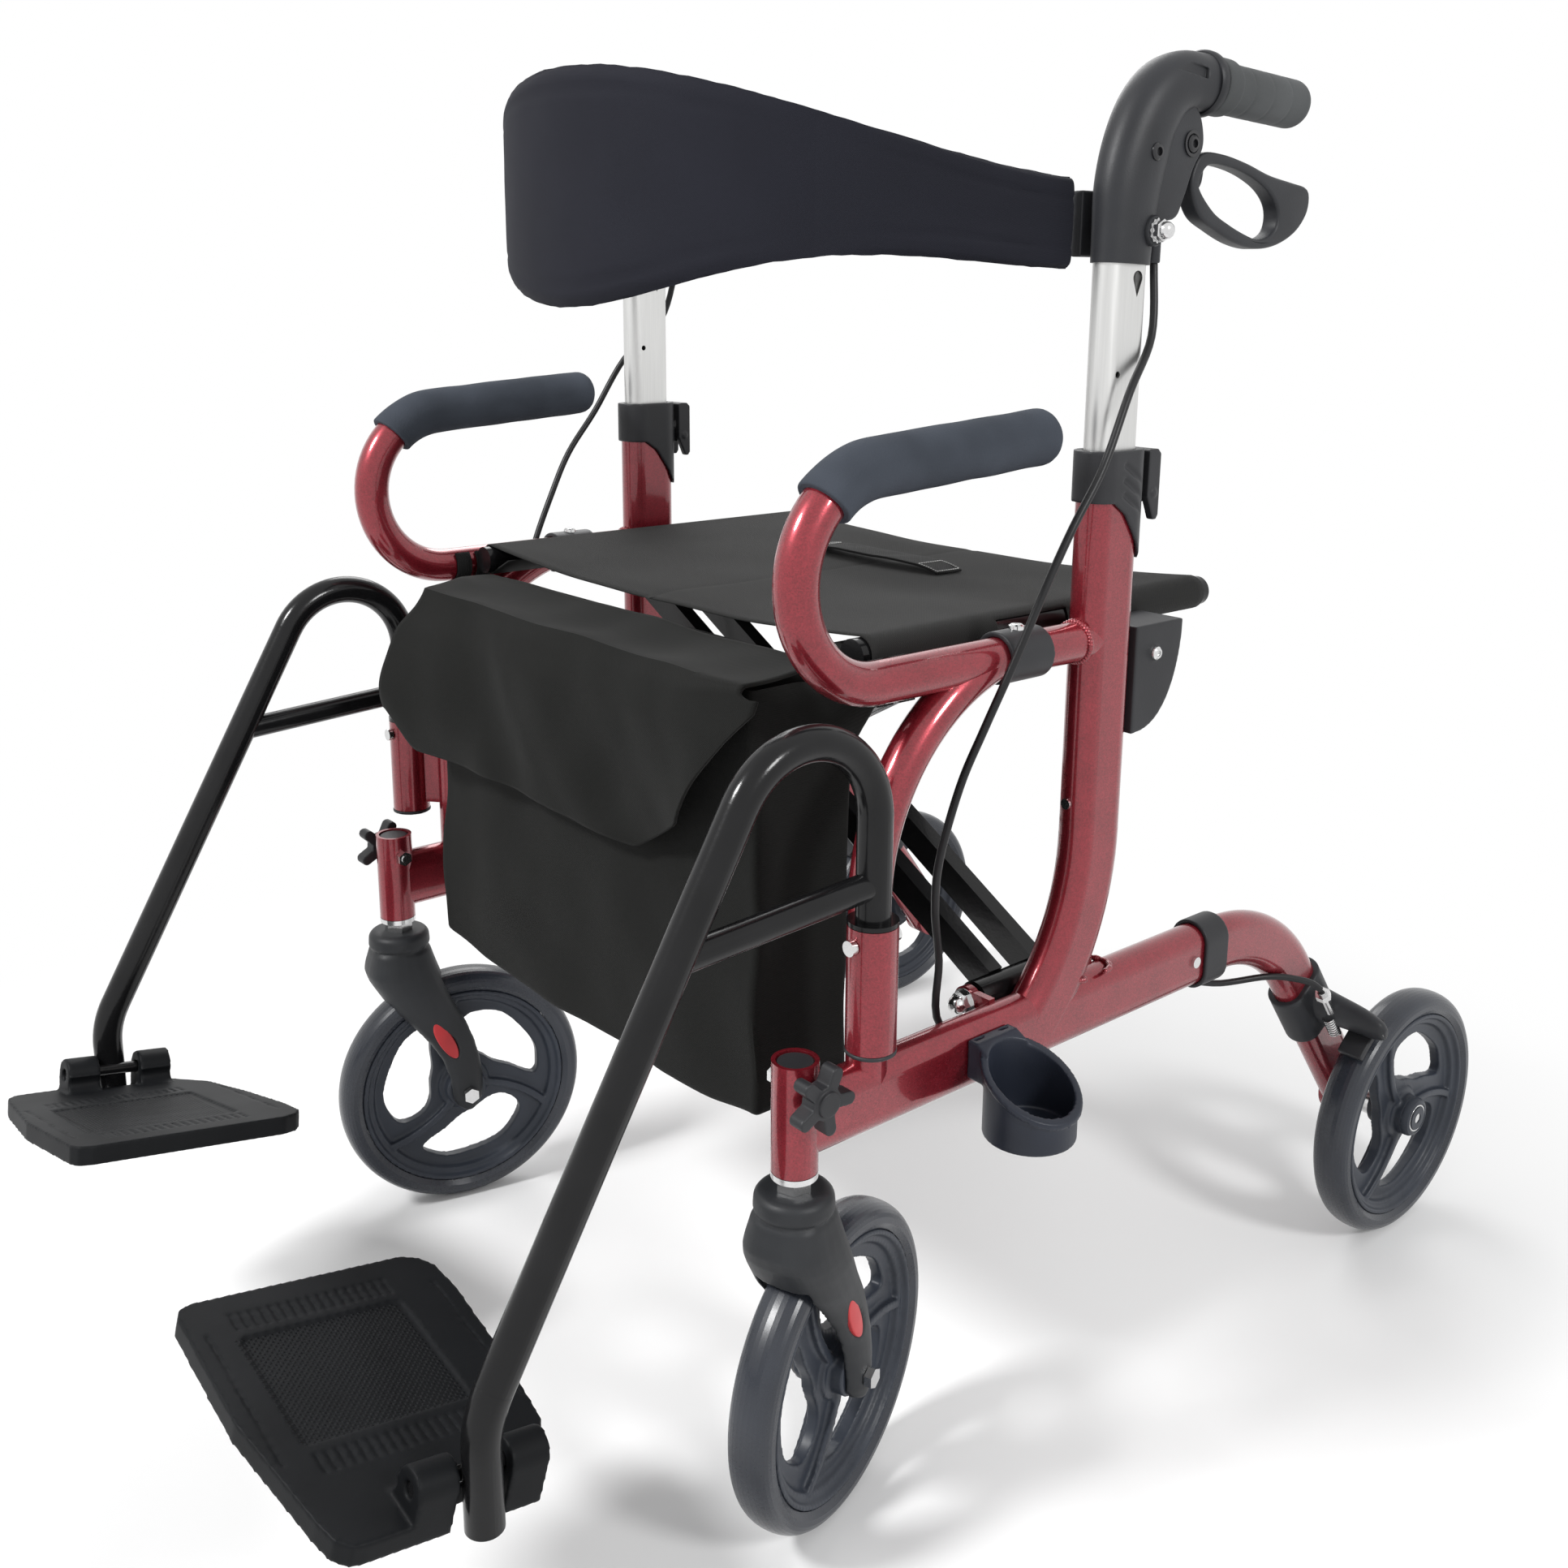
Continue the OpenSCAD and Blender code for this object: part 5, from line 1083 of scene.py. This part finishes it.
def brake_wings():
    """Moulded brake body: a sleeve round the leg that runs out into a tapering wing over the tyre."""
    stations = curve_through([Vector(row) for row in WING], 5)
    leg = Matrix(((1, 0, 0), LEG_OUT, LEG_DOWN)).transposed().to_4x4()
    for side, sign, bm in pair():
        ring = ops.create_circle(bm, segments=56, radius=SLEEVE_RADIUS)["verts"]
        for v in ring:
            v.co.y += copysign(SLEEVE_FLAT, v.co.y) if abs(v.co.y) > 0.0001 else 0
        first = bm.edges[:]
        start = BRAKE + Vector((sign * RAIL_X, 0, 0)) - LEG_DOWN * SLEEVE_LONG / 2
        ops.transform(bm, matrix=Matrix.Translation(start) @ leg, verts=ring)
        for loop in (first, sweep(bm, first, LEG_DOWN * SLEEVE_LONG, 10)):
            shrink(push(bm, loop, Vector()), 0.86)
        soften(bm, sharp_edges(bm), 0.0016)
        side_on = Vector((sign, 1, 1))
        loft(bm, 40, stations, lambda station, unit: BRAKE + wing_spot(station, unit) * side_on)
        wing = part("brake_wing_" + side, bm, SHELL, "black_plastic", side + "_frame")
        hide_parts("brake_housing_" + side)


def brake_pads():
    """Curved block on each brake shoe, just clear of the tyre, with a boss round its pin."""
    half = radians(10.5)
    section = [(278, 102.6), (298, 102.6), (298, 108.6), (278, 108.6)]
    for side, sign, bm in pair():
        rim, edges = closed_ring(bm, [HUB + mm(sign * x, 0, 0) - LEG_DOWN * r * 0.001 for x, r in section])
        ops.rotate(bm, cent=HUB, matrix=Matrix.Rotation(-half, 3, "X"), verts=rim)
        ops.spin(bm, geom=rim + edges, cent=HUB, axis=(1, 0, 0), angle=2 * half, steps=14)
        close(bm)
        ops.recalc_face_normals(bm, faces=bm.faces)
        soften(bm, sharp_edges(bm), 0.0016)
        pin = (sign * AXLE.x, 0.5316, 0.1967)
        turned(bm, [(0, -10), (5.5, -10), (5.5, 10), (0, 10)], pin, (1, 0, 0), 24)
        pad = part("brake_pad_" + side, bm, PLASTIC, "black_plastic", side + "_brake_shoe")
        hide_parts("brake_shoe_" + side)


def brake_springs():
    """Return spring of each rear brake: a wire wound between the arm and the shoe."""
    turns, length = 8, 0.021
    steps = turns * 16
    tilt = Vector((0, 0, 1)).rotation_difference(LEG_DOWN).to_matrix().to_4x4()
    for side, sign, bm in pair():
        hoop(bm, 8, 0.0007, (0.0042, 0, 0))
        ops.spin(bm, geom=bm.edges[:], cent=(0, 0, 0), axis=(0, 0, 1), dvec=(0, 0, length / steps),
                 angle=2 * pi * turns, steps=steps)
        close(bm)
        place = Matrix.Translation((sign * 0.2675, 0.523, 0.196))
        ops.transform(bm, matrix=place @ tilt, verts=bm.verts)
        part("brake_spring_" + side, bm, CHROME, "steel", side + "_frame")


SEAL = [(4.2, 5.6), (4.2, 6.2), (9.3, 6.2), (9.7, 5.9), (9.7, 5.6), (4.2, 5.6)]
BOSS = [(11.3, 0), (11.3, 5.2), (12.2, 5.8), (14.4, 5.0), (15.8, 2.6), (16, 0), (11.3, 0)]
BEARING = [(9.7, 0), (11.3, 0), (11.3, 5.0), (11.0, 5.4), (10.0, 5.4), (9.7, 5.0), (9.7, 0)]
HUB_FACE = 0.3029


def hub_rings():
    """Moulded boss and seal round each rear axle bolt, with a bright bearing ring between them."""
    for name, profiles, finish, slot in (("hub_boss_", (SEAL, BOSS), RIM, "black_plastic"),
                                         ("hub_ring_", (BEARING,), CHROME, "steel")):
        for side, sign in SIDES:
            bm = bmesh.new()
            for profile in profiles:
                turned(bm, profile, (sign * HUB_FACE, HUB.y, HUB.z), (sign, 0, 0), 48)
            part(name + side, bm, finish, slot, side + "_rear_wheel", 0.5)


# Small trim on the side frames

REST_SCREW = [(0, 1.2), (1.7, 1.2), (1.9, 2.2), (3.2, 2.0), (4.3, 1.0), (4.6, 0), (0, 0)]
SADDLE_SCREW = [(0, 0.8), (1.7, 0.8), (1.9, 1.9), (3.4, 1.7), (4.6, 0.8), (5, -1.5), (0, -1.5)]


def bead(bm, count, size, spot):
    """Ring of drops, as a hand-welded joint leaves, where spot gives a place from a sine and a cosine."""
    for i in range(count):
        angle = 2 * pi * i / count
        radius = size * (1 + 0.12 * sin(5.1 * i))
        drop = ops.create_icosphere(bm, subdivisions=2, radius=radius)["verts"]
        ops.translate(bm, vec=spot(sin(angle), cos(angle)), verts=drop)


def weld_beads():
    """Painted weld beads at the rail's end and round the foot of the oval post."""
    tube, post, flat = 0.0125, 0.248, 0.010
    for side, sign, bm in pair():
        x = sign * RAIL_X
        bead(bm, 36, 0.0021, lambda s, c: (x + tube * s, 0.2245, RAIL_Z + tube * c))
        bead(bm, 64, 0.0020, lambda s, c: (x + tube * c, post + copysign(flat, s) + tube * s, 0.3068))
        part("weld_beads_" + side, bm, RED, "red_paint", side + "_frame")


def frame_screws():
    """Bright button screws on each seat rest and saddle."""
    for side, sign, bm in pair():
        stud(bm, REST_SCREW, sign, 0.0136, (0.2898, 0.517))
        turned(bm, SADDLE_SCREW, (sign * RAIL_X, 0.170, 0.5478), (0, 0, 1))
        part("rest_screw_" + side, bm, CHROME, "steel", side + "_frame", 0.5)


seat_sling()
pull_strap()
backrest_band()
arm_pads()
bag_body()
bag_tabs()
bag_flap()
brake_cables()
handle_shells()
handle_hardware()
brake_levers()
fork_inlays()
brake_wings()
brake_pads()
brake_springs()
hub_rings()
weld_beads()
frame_screws()
